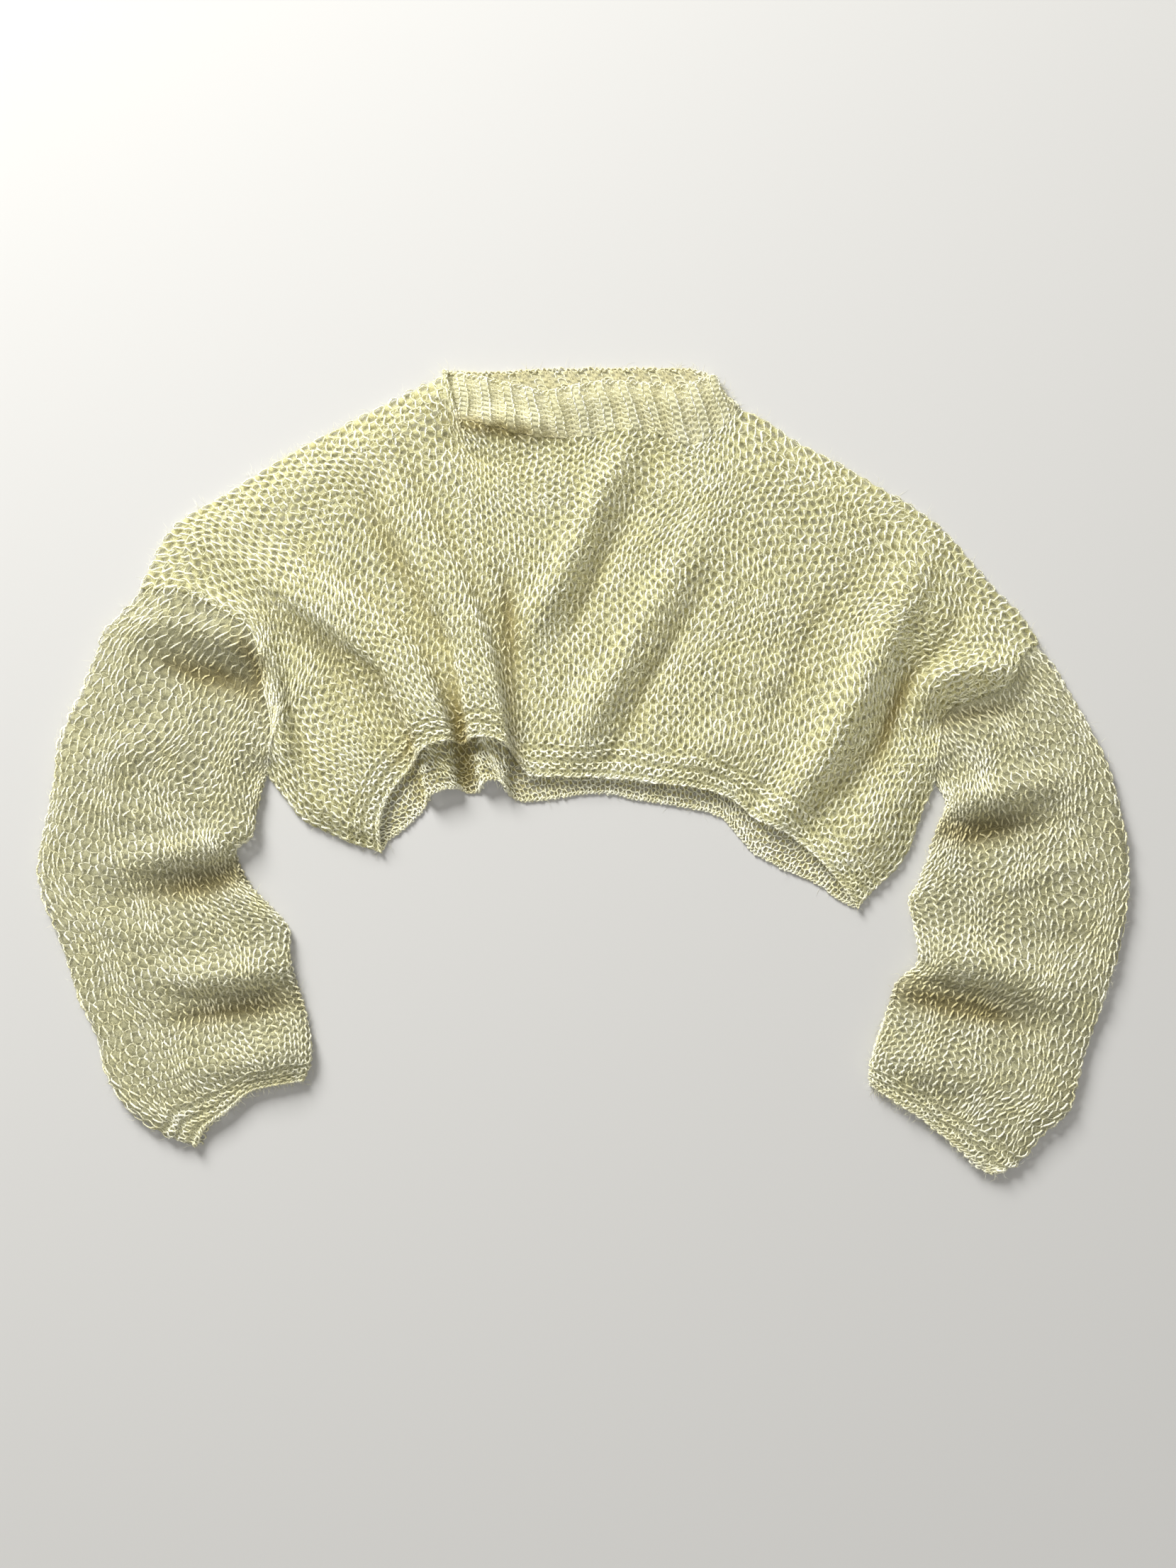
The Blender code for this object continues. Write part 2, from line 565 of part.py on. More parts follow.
neck = slice(NECK_FIRST_COLUMN, NECK_LAST_COLUMN + 1)
ring, out = neckband(front[0, neck], back[0, neck], np.linspace(0.0, 1.0, BAND_ROWS + 1))
ribbed = WALL / 2 + rib_height(ring.shape[1])
wall_object("neckband", ring + out * ribbed, ring - out * WALL / 2, ring=True)
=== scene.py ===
"""Looks of the cropped sweater: loose knitting in fuzzy mohair and silk, laid flat on a pale floor.

Sizes are in millimetres in the plan of the laid sweater, x to the right, y towards the neck and z up,
and become metres when a mesh is made.
"""

import math
from collections import namedtuple
from functools import partial

import bmesh
import bpy
import numpy as np
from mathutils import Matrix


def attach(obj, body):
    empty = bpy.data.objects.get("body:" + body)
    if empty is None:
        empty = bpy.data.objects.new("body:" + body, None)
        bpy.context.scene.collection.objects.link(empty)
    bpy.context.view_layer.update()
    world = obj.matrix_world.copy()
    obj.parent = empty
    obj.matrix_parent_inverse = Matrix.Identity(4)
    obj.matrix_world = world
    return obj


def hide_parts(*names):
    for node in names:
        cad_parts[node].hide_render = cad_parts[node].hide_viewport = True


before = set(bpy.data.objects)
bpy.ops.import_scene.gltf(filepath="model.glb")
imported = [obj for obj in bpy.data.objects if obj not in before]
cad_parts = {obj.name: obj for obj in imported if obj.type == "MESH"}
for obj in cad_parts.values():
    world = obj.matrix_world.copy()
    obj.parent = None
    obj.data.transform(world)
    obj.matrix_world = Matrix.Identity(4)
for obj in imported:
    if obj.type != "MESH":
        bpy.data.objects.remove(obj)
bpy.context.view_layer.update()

# Front panel
#
# One knitted panel from the neck to the hem, worked in stocking stitch with the knit side out and
# ended in a narrow border of garter stitch. The yarn is a thin strand of brushed mohair and silk on
# large needles, so the stitches are open and a haze of fibres fills them.

MM = 0.001

# The cloth: its wall, the layers that it lies in and how it rises from its seams and edges
WALL = 2.0
SEAM_GAP = 0.3
LAYER_GAP = 1.0
FLOOR_LAYER = WALL / 2
UPPER_LAYER = FLOOR_LAYER + WALL + LAYER_GAP
SEAM_LAYER = FLOOR_LAYER + WALL + SEAM_GAP
SEAM_EASE = 14.0
PUFF = 7.0
HEM_PUFF = 0.4
HEM_EASE = 22.0
LIFT_ROUNDING = 4.0
RIDGE_POWER = 2.4
CREASE_RATE = 1.3

# How a panel's rows follow its outline, with lengths as shares of it
SIDE_PULL = 4
NECK_PULL = 3
NECK_SOFT = 120
NECK_SOFTEN = 0.10
NECK_CORNER = (-110, 298)
CORNER_WIDTH = 15.0
CORNER_RISE = 3.2
ARMHOLE_SHARE = 0.6
SHOULDER_SHARE = 0.33
NECK_START = 0.35
NECK_END = 0.665
ROW_POINTS = 1500
CURVE_POINTS = 80

# The knitting. A border's rows are lower than plain ones
BODY_STITCHES = 70
BODY_ROWS = 36
BORDER_ROWS = 5
BORDER_HEIGHT = 0.6
SPANS_PER_STITCH = 4
SPANS_PER_ROW = 3

# One stitch, in stitches and rows: how far its legs lean, its height and how far it strays
LOOP_LEAN = 0.21
LOOP_HEIGHT = 0.66
LOOP_SHIFT = 0.06
YARN_KINK = 0.030
LEAN_STRAY = 0.22
HEIGHT_STRAY = 0.12

# The strand, in millimetres: how far its legs stand out, its radius and how that changes
LOOP_DEPTH = 1.1
DEPTH_STRAY = 0.3
DEPTH_KINK = 0.15
YARN_RADIUS = 0.74
LEG_SHARE = 0.22
RADIUS_STRAY = 0.12

# How hand knitting drifts from an even grid, in waves that fade towards its edges.
# Columns: size in stitches or rows, waves across the cloth, shift of the wave per row, its start
DRIFT_ASIDE = ((0.34, 3, 0.45, 0.0), (0.22, 7, -0.31, 1.3))
DRIFT_ALONG = ((0.28, 4, 0.40, 2.1), (0.18, 9, 0.11, 0.0))
DRIFT_EASE = 3.0

# The strands that chain the last stitches off: how they wind, and their radius by the yarn's
EDGE_STEPS = 8
EDGE_RADIUS = 1.1
EDGE_THICKNESS = 1.1
EDGE_BULGE = 0.1
EDGE_SWING = 1.2
EDGE_INSET = 0.6
EDGE_STRAY = 0.45
EDGE_LIFT_STRAY = 0.15
EDGE_SHIFT = 0.0006

# The loose fibres. A share of them stand along the cloth's edges
FIBRE_LENGTH = 6.5
FIBRE_RADIUS = 0.08
FIBRE_EVENNESS = 4.0
FIBRE_START = 0.2
FIBRE_START_STRAY = 0.5
FIBRE_RISE_STRAY = 0.22
FIBRE_BEND = 0.16
FIBRE_ARCH = 0.08
RIM_SHARE = 0.12
RIM_INSET = 0.004

# The haze: how far its two skins lie from the cloth's middle, and the least height of what is loose
HAZE_OVER = 0.8
HAZE_UNDER = 0.8
LEAST_HEIGHT = 0.15

# How much painted shade darkens the valleys of folds and the feet of the pleats, how wide it is at a
# foot, and how much room pieces have on their flat maps
VALLEY_PAINTED_SHADE = 0.03
PLEAT_FOOT_PAINTED_SHADE = 0.4
FOOT_WIDTH = 5.0
MAP_YARN = 0.0008
MAP_FIBRE = 0.0008
MAP_EDGE = 0.01

# Outlines. Columns: x, y
SHOULDER_LEFT = (
    (-345, 141), (-334, 162), (-323, 183), (-273, 217), (-222, 249),
    (-175, 273), (-131, 295), (-106, 307),
)
SHOULDER_RIGHT = (
    (121, 281), (138, 274), (167, 254), (199, 238), (231, 219), (258, 203),
    (284, 182), (303, 160), (321, 139), (343, 117), (355, 98),
)
ARMHOLE_LEFT = (
    (-345, 141), (-308, 136), (-282, 123), (-259, 109), (-250, 91), (-249, 77),
    (-244, 52), (-241, 23), (-247, -3),
)
ARMHOLE_RIGHT = (
    (355, 98), (339, 88), (331, 68), (309, 56), (284, 46), (277, 20), (274, -10),
)
SIDE_LEFT = (
    (-247, -3), (-233, -21), (-217, -40), (-201, -48), (-183, -56), (-158, -64),
)
SIDE_RIGHT = (
    (274, -10), (262, -38), (255, -59), (245, -76), (228, -92), (214, -107),
)
NECK_SIDE = ((-106, 307), (-102, 292), (-97, 272))
NECK_FRONT = (
    (-97, 272), (-67, 265), (-38, 258), (0, 258), (26, 263), (56, 261), (73, 254),
    (88, 252), (100, 260), (111, 268), (121, 281),
)
NECK_BACK = ((-97, 272), (-40, 268), (15, 268), (70, 270), (100, 272), (121, 281))
YOKE_LEFT = ((-345, 141), (-323, 183), (-273, 217), (-222, 248), (-175, 268), (-118, 284))
YOKE_NECK = ((-118, 284), (0, 284), (121, 281))
HEM_FRONT = (
    (-158, -64), (-158, -35), (-149, -15), (-135, 1), (-126, 15), (-115, 22),
    (-100, 23), (-94, 20), (-87, 25), (-73, 26), (-61, 22), (-52, 9), (-43, -2),
    (-23, -4), (15, -5), (54, -9), (89, -13), (113, -20), (136, -38), (156, -47),
    (177, -63), (197, -83), (214, -107),
)
HEM_BACK = (
    (-158, -64), (-151, -54), (-138, -44), (-125, -31), (-118, -19), (-109, -15),
    (-98, -14), (-89, -18), (-82, -17), (-75, -8), (-65, -8), (-60, -15), (-55, -21),
    (-30, -23), (-6, -19), (19, -18), (44, -23), (65, -26), (87, -30), (109, -37),
    (119, -48), (131, -62), (153, -75), (182, -88), (204, -103), (214, -107),
)
CUFF_LEFT = ((-301, -292), (-295, -279), (-277, -265), (-258, -249), (-242, -245), (-218, -241))
CUFF_RIGHT = ((321, -313), (314, -311), (291, -292), (264, -271), (241, -256), (224, -245))

# The two folds that run down into the box pleats at the hem, from the top. Columns: x, y,
# half of the crest's width, left and right wall's width in plan, height in the upper layer
# and height in the layer beneath it
PLEATS = (
    (
        (-263, 171, 5, 16, 24, 0, 0), (-221, 142, 8, 14, 20, 8, 0),
        (-177, 113, 10, 10, 17, 12, 0), (-144, 86, 11.5, 7, 12, 15, 0),
        (-125, 53, 13, 5, 5, 15, 7), (-116, 22, 14, 3.5, 3.5, 15, 11),
        (-110, -14, 15, 3.5, 3.5, 14, 10),
    ),
    (
        (-164, 263, 5, 18, 18, 2, 0), (-145, 207, 8, 14, 15, 8, 0),
        (-112, 151, 10, 11, 12, 12, 0), (-87, 102, 11, 9, 10, 14, 0),
        (-77, 61, 12.5, 6, 7.5, 15, 7), (-72, 25, 14, 3.5, 5.5, 15, 11),
        (-68, -9, 15, 3.5, 5, 14, 10),
    ),
)

# How the cloth climbs over the pleats, and how finely that is worked out
PLEAT_HEIGHT = 15.0
PLEAT_NEST = 3.6
PLEAT_ROUNDING = 2.6
PLEAT_FADE = 12.0
PLEAT_POINTS = 200
CLIMB_POINTS = 30
LEAST_STEP = 0.02
CORNER_STEP = 0.01
LEAST_SHARE = 2e-5

# Soft folds of the upper layer: ridges, and valleys with a negative height.
# Columns: half width, then the line's x, y and height
FOLDS = {
    "left_armhole": (10, (-335, 150, 2), (-308, 136, 7), (-280, 122, 11), (-256, 106, 11),
                     (-246, 85, 9), (-243, 52, 8), (-239, 20, 6), (-238, 0, 3)),
    "left_flank": (15, (-225, 40, 1), (-200, 10, 4), (-180, -20, 5), (-170, -45, 3)),
    "left_flank_valley": (12, (-262, 118, -1), (-236, 106, -6), (-205, 88, -8), (-176, 55, -7),
                          (-150, 18, -5), (-143, -15, -2)),
    "left_chest_valley": (13, (-162, 255, 0), (-160, 205, -6), (-138, 150, -7), (-112, 98, -5)),
    "beside_pleats_valley": (11, (-72, 170, 0), (-58, 125, -5), (-50, 60, -6), (-44, 15, -4)),
    "centre": (10, (34, 285, 0), (30, 245, 5), (9, 205, 8), (-10, 163, 9), (-38, 115, 6),
               (-50, 90, 1)),
    "centre_valley": (12, (64, 265, 0), (42, 215, -5), (15, 165, -7), (-6, 115, -6), (-22, 85, -1)),
    "centre_right": (14, (98, 195, 1), (78, 162, 6), (54, 122, 8), (33, 84, 9),
                     (8, 50, 8), (-8, 15, 4)),
    "centre_right_valley": (11, (112, 165, 0), (84, 120, -5), (60, 85, -8), (38, 42, -7),
                            (22, 10, -3)),
    "right_flank": (13, (272, 185, 2), (256, 150, 8), (234, 104, 13), (205, 50, 14),
                    (176, -2, 12), (153, -34, 6)),
    "right_flank_valley": (12, (300, 155, 0), (293, 122, -6), (260, 70, -8), (232, 20, -8),
                           (190, -22, -6), (176, -45, -2)),
    "right_chest": (14, (110, 70, 0), (145, 75, 4), (170, 80, 0)),
    "right_chest_valley": (14, (235, 190, 0), (205, 140, -4), (180, 110, -5), (150, 40, -4),
                           (135, 5, 0)),
    "right_hem": (15, (150, 20, 0), (110, 20, 4), (80, 5, 3)),
    "right_corner": (14, (240, -20, 2), (215, -50, 5), (195, -68, 3)),
    "right_armhole": (11, (351, 99, 3), (332, 83, 9), (305, 78, 12), (277, 70, 12),
                      (260, 56, 9), (254, 44, 4)),
    "right_armhole_valley": (10, (345, 62, -2), (332, 48, -5), (310, 44, -7), (287, 42, -8),
                             (268, 30, -4)),
    "under_band_hollow": (12, (-112, 262, -2), (-98, 250, -6), (-70, 240, -6), (-40, 240, -2)),
    "left_arm_roll": (10, (-350, 112, 1), (-318, 112, 5), (-290, 104, 8), (-266, 94, 9),
                      (-252, 86, 6)),
    "left_arm_hollow": (12, (-256, 66, -7), (-276, 70, -11), (-305, 76, -10), (-335, 86, -4),
                        (-352, 96, 0)),
    "left_upper_arm": (14, (-395, -5, 0), (-362, 12, 4), (-325, 22, 4), (-290, 25, 0)),
    "left_fold_one": (11, (-250, -50, 8), (-285, -58, 11), (-320, -64, 9), (-352, -70, 4),
                      (-390, -74, 0)),
    "left_valley_one": (12, (-266, -80, -6), (-290, -88, -9), (-330, -94, -8), (-378, -102, -1)),
    "left_fold_two": (11, (-226, -148, 8), (-260, -156, 11), (-292, -160, 9), (-330, -160, 3),
                      (-365, -158, 0)),
    "left_valley_two": (11, (-215, -178, -5), (-250, -185, -8), (-288, -190, -7),
                        (-345, -198, 0)),
    "left_fold_three": (13, (-214, -220, 5), (-245, -224, 7), (-275, -228, 5), (-310, -232, 2),
                        (-345, -236, 0)),
    "right_fold_one": (12, (276, -18, 5), (300, -22, 11), (332, -16, 11), (362, -8, 5),
                       (398, -8, 0)),
    "right_valley_one": (12, (268, -50, -5), (300, -52, -8), (338, -44, -8), (385, -40, -1)),
    "right_outer_valley": (10, (345, -128, 0), (372, -130, -5), (402, -136, -1)),
    "right_fold_two": (15, (258, -140, 8), (299, -148, 13), (332, -158, 12), (358, -170, 7),
                       (390, -184, 0)),
    "right_valley_two": (12, (240, -176, -5), (278, -182, -9), (320, -191, -9), (374, -207, -1)),
    "right_fold_three": (14, (226, -222, 5), (260, -228, 6), (300, -236, 4), (345, -240, 0)),
    "band_roll": (9, (-93, 270, 2), (-65, 272, 6), (-35, 266, 4), (-15, 266, 0)),
}

# Small creases and ridges in the cloth, finer than its large folds.
# Columns: half width, then the line's x, y and height
CREASES = (
    (5, (-268, 100, -2), (-261, 95, -6), (-253, 84, -6), (-249, 66, -3)),
    (6, (-234, 66, -2), (-227, 48, -5), (-217, 22, -6), (-206, -2, -4), (-196, -18, -1)),
    (6, (-232, 20, 2), (-222, -8, 5), (-204, -30, 5), (-180, -44, 4), (-160, -52, 2)),
    (5, (-206, 96, -2), (-186, 78, -5), (-162, 56, -6), (-144, 36, -5), (-134, 22, -3)),
    (5, (-60, 152, -1), (-58, 130, -5), (-57, 108, -5), (-54, 84, -3)),
    (5, (52, 214, -1), (38, 188, -3), (16, 156, -4), (-2, 126, -3)),
    (5, (64, 126, -1), (48, 100, -4), (34, 72, -4), (24, 44, -2)),
    (6, (262, 92, -2), (250, 66, -6), (240, 44, -7), (226, 12, -5), (206, -24, -3)),
    (5, (158, 128, -1), (148, 98, -3), (136, 70, -3), (120, 48, -1)),
    (6, (86, 210, 1), (104, 176, 2), (112, 140, 2), (104, 108, 1)),
    (5, (150, 14, -1), (138, -14, -4), (128, -34, -3)),
    (5, (-160, 236, -1), (-152, 196, -3), (-132, 152, -3)),
    (6, (-300, 178, 1), (-262, 160, 3), (-226, 132, 3), (-200, 108, 1)),
    (5, (-262, -72, -3), (-286, -76, -6), (-318, -80, -5), (-350, -84, -2)),
    (5, (-222, -166, -3), (-252, -172, -5), (-290, -174, -4), (-322, -176, -1)),
    (6, (-402, -20, 0), (-372, -30, 2), (-336, -38, 3), (-300, -40, 1)),
    (6, (-408, -112, 0), (-376, -120, 2), (-344, -128, 2), (-310, -128, 1)),
    (5, (278, -38, -3), (304, -40, -6), (336, -34, -4), (360, -28, -1)),
    (5, (252, -162, -3), (288, -168, -6), (326, -176, -5), (356, -190, -2)),
    (6, (410, -70, 0), (380, -72, 2), (344, -84, 3), (306, -98, 1)),
    (6, (-335, 119, 1), (-312, 115, 4), (-290, 108, 5), (-268, 100, 5), (-252, 92, 3)),
    (5, (-240, 84, 1), (-236, 60, 4), (-231, 36, 4), (-228, 16, 2)),
    (6, (257, 54, 2), (265, 70, 4), (292, 78, 4), (322, 70, 3), (336, 54, 1)),
)

# Hollows of the folds, where the colour is painted a deeper, darker yellow as painted shade and the
# haze is made thicker.
# Columns: half width, then the line's x, y and share of painted shade
PAINTED_SHADE_HOLLOWS = (
    (6, (-108, 80, 0.1), (-99, 50, 0.6), (-94, 22, 0.9), (-91, -5, 1.0)),
    (6, (-276, 102, 0.1), (-261, 94, 0.8), (-252, 80, 0.7), (-247, 50, 0.2)),
    (7, (-106, 274, 0.3), (-92, 269, 0.8), (-60, 263, 0.9), (-30, 259, 0.5), (0, 257, 0.1)),
    (9, (-60, 150, 0.1), (-57, 124, 0.5), (-54, 96, 0.4), (-50, 60, 0.1)),
    (6, (260, 84, 0.1), (245, 55, 0.7), (236, 30, 0.6), (228, 0, 0.2)),
    (5, (-146, 5, 0.4), (-138, 14, 0.5), (-131, 26, 0.3)),
    (9, (-334, 88, 0.2), (-306, 77, 0.7), (-280, 70, 0.9), (-262, 64, 0.7), (-250, 48, 0.2)),
    (9, (-262, -76, 0.3), (-285, -88, 0.8), (-310, -92, 0.7), (-345, -96, 0.1)),
    (9, (-222, -176, 0.2), (-255, -184, 0.6), (-290, -190, 0.6), (-325, -194, 0.1)),
    (10, (272, -44, 0.3), (296, -50, 0.8), (322, -46, 0.6), (352, -40, 0.1)),
    (10, (246, -172, 0.4), (276, -180, 0.9), (310, -188, 0.8), (345, -198, 0.1)),
    (7, (330, 50, 0.1), (305, 44, 0.4), (284, 38, 0.4), (268, 24, 0.2)),
)


def smooth_line(points, places, fine=24):
    """Rows of a smooth curve through the points, at places that are shares of its plan length."""
    points = np.array(points, float)
    steps = np.linalg.norm(np.diff(points[:, :2], axis=0), axis=1)
    knots = np.concatenate([[0.0], np.cumsum(steps)])
    slopes = np.gradient(points, knots, axis=0)
    along = np.linspace(0.0, knots[-1], fine * len(steps) + 1)
    piece = np.clip(np.searchsorted(knots, along, side="right") - 1, 0, len(steps) - 1)
    reach = steps[piece][:, None]
    share = (along - knots[piece])[:, None] / reach
    line = (
        points[piece] * (2 * share**3 - 3 * share**2 + 1)
        + points[piece + 1] * (3 * share**2 - 2 * share**3)
        + slopes[piece] * reach * (share**3 - 2 * share**2 + share)
        + slopes[piece + 1] * reach * (share**3 - share**2)
    )
    run = np.concatenate([[0.0], np.cumsum(np.linalg.norm(np.diff(line[:, :2], axis=0), axis=1))])
    wanted = np.asarray(places, float) * run[-1]
    return np.stack([np.interp(wanted, run, line[:, k]) for k in range(line.shape[1])], axis=-1)


def joined_line(parts, limits, places):
    """One curve made of several, each filling its own stretch of 0 to 1 between the limits."""
    places = np.asarray(places, float)
    points = np.zeros((len(places), 2))
    for part, low, high in zip(parts, limits[:-1], limits[1:]):
        inside = (places >= low - 1e-9) & (places <= high + 1e-9)
        points[inside] = smooth_line(part, (places[inside] - low) / (high - low))
    return points


def patch(first, last, left, right, across, down):
    """Rows that change from a first to a last one, their ends pulled to both side outlines."""
    u = across[None, :, None]
    v = down[:, None, None]
    left_pull = left[:, None] - (1 - v) * first[0] - v * last[0]
    right_pull = right[:, None] - (1 - v) * first[-1] - v * last[-1]
    rows = (1 - v) * first + v * last
    return rows + (1 - u) ** SIDE_PULL * left_pull + u**SIDE_PULL * right_pull


def distance_to(points, line):
    """Distance in plan from each point to a curve, and the share of the curve it is nearest to."""
    fine = smooth_line(line, np.linspace(0.0, 1.0, CURVE_POINTS))
    gaps = np.linalg.norm(points[..., None, :2] - fine[:, :2], axis=-1)
    nearest = gaps.argmin(axis=-1)
    return np.take_along_axis(gaps, nearest[..., None], axis=-1)[..., 0], fine[nearest]


def fold_height(points):
    """Height that the soft folds add at points in plan: flat-topped ridges and creased valleys."""
    height = np.zeros(points.shape[:-1])
    for width, *line in (*FOLDS.values(), *CREASES):
        gap, row = distance_to(points, line)
        reach = gap / width
        ridge, crease = np.exp(-(reach**RIDGE_POWER)), np.exp(-CREASE_RATE * reach)
        height = height + row[..., 2] * np.where(row[..., 2] > 0, ridge, crease)
    return height


def painted_shade_share(points):
    """Share of painted shade at points in plan, from 0 to 1, in the hollows of folds."""
    share = np.zeros(points.shape[:-1])
    for width, *line in PAINTED_SHADE_HOLLOWS:
        gap, row = distance_to(points, line)
        share = share + row[..., 2] * np.exp(-((gap / width) ** 2))
    # Painted shade also in the valleys of folds and creases, and at the feet of the pleats' walls
    for width, *line in (*FOLDS.values(), *CREASES):
        gap, row = distance_to(points, line)
        share = share - VALLEY_PAINTED_SHADE * np.minimum(row[..., 2], 0.0) * np.exp(-((gap / width) ** 2))
    for line in PLEATS:
        gap, row = distance_to(points, line)
        crest, left_wall, right_wall, upper = (row[..., k] for k in range(2, 6))
        foot = np.abs(gap - crest - 0.5 * (left_wall + right_wall)) / FOOT_WIDTH
        share = share + PLEAT_FOOT_PAINTED_SHADE * upper / PLEAT_HEIGHT * np.exp(-(foot**2))
    return np.clip(share, 0.0, 1.0)


def upper_height(points):
    """Middle of the upper layer's wall: close to the lower layer at the seams that join them."""
    seams = (SHOULDER_LEFT, SHOULDER_RIGHT, SIDE_LEFT, SIDE_RIGHT)
    gap = np.min([distance_to(points, seam)[0] for seam in seams], axis=0)
    ease = 1.0 - np.exp(-((gap / SEAM_EASE) ** 2))
    hems = (HEM_FRONT, NECK_FRONT, CUFF_LEFT, CUFF_RIGHT)
    gap = np.min([distance_to(points, hem)[0] for hem in hems], axis=0)
    lift = PUFF * (1.0 - (1.0 - HEM_PUFF) * np.exp(-((gap / HEM_EASE) ** 2))) + fold_height(points)
    lift = 0.5 * (lift + np.sqrt(lift**2 + LIFT_ROUNDING))
    return SEAM_LAYER + (UPPER_LAYER - SEAM_LAYER + lift) * ease


def length_along(points):
    """Length of a run of points up to each of them."""
    steps = np.linalg.norm(np.diff(points, axis=0), axis=1)
    return np.concatenate([[0.0], np.cumsum(steps)])


def at(places, known, values):
    """Values between known places, column by column."""
    return np.stack([np.interp(places, known, column) for column in values.T], axis=-1)


def pleat_corners(row, run, is_upper):
    """Foot and crest of each pleat's walls, where a row of plan points climbs over it."""
    corners = [(0.0, 0.0)]
    for line in PLEATS:
        fine = smooth_line(line, np.linspace(0.0, 1.0, PLEAT_POINTS))
        gaps = np.linalg.norm(row[:, None, :] - fine[None, :, :2], axis=-1)
        place, nearest = np.unravel_index(gaps.argmin(), gaps.shape)
        crest, left_wall, right_wall, upper, under = fine[nearest, 2:]
        crest = crest if is_upper else crest - PLEAT_NEST
        height = max(upper if is_upper else under, 0.0)
        height = height * np.exp(-((gaps[place, nearest] / PLEAT_FADE) ** 2))
        foot, crest_end = -crest - left_wall, crest + right_wall
        for side, rise in ((foot, 0.0), (-crest, height), (crest, height), (crest_end, 0.0)):
            corners.append((max(run[place] + side, corners[-1][0] + CORNER_STEP), rise))
    corners.append((run[-1], 0.0))
    return np.array(corners)


def rounded(profile, step=0.5):
    """A run of points with its corners rounded to PLEAT_ROUNDING and both ends kept."""
    length = length_along(profile)
    profile = at(np.linspace(0.0, length[-1], int(length[-1] / step) + 1), length, profile)
    reach = int(4 * PLEAT_ROUNDING / step)
    offsets = np.arange(-reach, reach + 1) * step
    kernel = np.exp(-0.5 * (offsets / PLEAT_ROUNDING) ** 2)
    before = 2 * profile[0] - profile[reach:0:-1]
    after = 2 * profile[-1] - profile[-2:-reach - 2:-1]
    padded = np.concatenate([before, profile, after])
    smooth = [np.convolve(column, kernel / kernel.sum(), "valid") for column in padded.T]
    return np.stack(smooth, axis=-1)


def pleated_row(shares, row, is_upper, places):
    """Points at places along a row that climbs over the pleats; shares are the row's own places."""
    run = length_along(row)
    corners = pleat_corners(row, run, is_upper)
    share = np.linspace(0.0, 1.0, CLIMB_POINTS)
    swell = 3 * share**2 - 2 * share**3
    climbs = [
        np.stack([low[0] + (high[0] - low[0]) * share, low[1] + (high[1] - low[1]) * swell], axis=1)
        for low, high in zip(corners[:-1], corners[1:])
    ]
    profile = rounded(np.concatenate(climbs))
    along = np.maximum(np.diff(np.interp(profile[:, 0], run, shares)), LEAST_SHARE)
    stretch = np.diff(length_along(profile)) / np.maximum(np.abs(np.diff(profile[:, 0])), LEAST_STEP)
    worked = np.concatenate([[0.0], np.cumsum(along * stretch)])
    spot = at(places, worked / worked[-1], profile)
    return np.concatenate([at(spot[:, 0], run, row), spot[:, 1:]], axis=1)


def panel(neck, hem, is_upper):
    """Middle of a panel's wall, row by row from the shoulders to the hem."""
    limits = (0.0, SHOULDER_SHARE, NECK_START, NECK_END, 1.0)
    top_parts = (SHOULDER_LEFT, NECK_SIDE, neck, SHOULDER_RIGHT)
    yoke_limits = (0.0, SHOULDER_SHARE, NECK_END, 1.0)
    yoke_parts = (YOKE_LEFT, YOKE_NECK, SHOULDER_RIGHT)
    side_limits = (0.0, ARMHOLE_SHARE, 1.0)
    fine = np.linspace(0.0, 1.0, ROW_POINTS + 1)
    yoke = joined_line(yoke_parts, yoke_limits, fine)
    dip = joined_line(top_parts, limits, fine) - yoke
    down = np.linspace(0.0, 1.0, SPANS_PER_ROW * BODY_ROWS + 1)
    grid = patch(
        yoke, smooth_line(hem, fine),
        joined_line((ARMHOLE_LEFT, SIDE_LEFT), side_limits, down),
        joined_line((ARMHOLE_RIGHT, SIDE_RIGHT), side_limits, down),
        fine, down,
    )
    window = np.hanning(2 * NECK_SOFT + 1) / NECK_SOFT
    soft = [np.convolve(np.pad(line, NECK_SOFT, "edge"), window, "valid") for line in dip.T]
    soften = 1.0 - np.exp(-((down / NECK_SOFTEN) ** 2))[:, None, None]
    dip = dip + soften * (np.stack(soft, axis=-1) - dip)
    grid += (1.0 - down[:, None, None]) ** NECK_PULL * dip
    places = np.linspace(0.0, 1.0, SPANS_PER_STITCH * BODY_STITCHES + 1)
    points = np.array([pleated_row(fine, row, is_upper, places) for row in grid])
    points[..., 2] += upper_height(points) if is_upper else FLOOR_LAYER
    if is_upper:
        gap = np.linalg.norm(points[..., :2] - np.array(NECK_CORNER), axis=-1) / CORNER_WIDTH
        points[..., 2] += CORNER_RISE * np.exp(-(gap**2))
    return points


Cloth = namedtuple("Cloth", "grid way deep is_ring stitches rows border drift")


def cloth_of(grid, is_ring, stitches, rows, border, drift=1.0):
    """A cloth from its middle, a grid of points: the way out of it and the share of painted shade in
    its hollows.
    """
    across = np.gradient(grid, axis=1)
    if is_ring:
        across[:, 0] = across[:, -1] = grid[:, 1] - grid[:, -2]
    way = np.cross(np.gradient(grid, axis=0), across)
    way /= np.linalg.norm(way, axis=-1)[..., None]
    return Cloth(grid, way, painted_shade_share(grid)[..., None], is_ring, stitches, rows, border, drift)


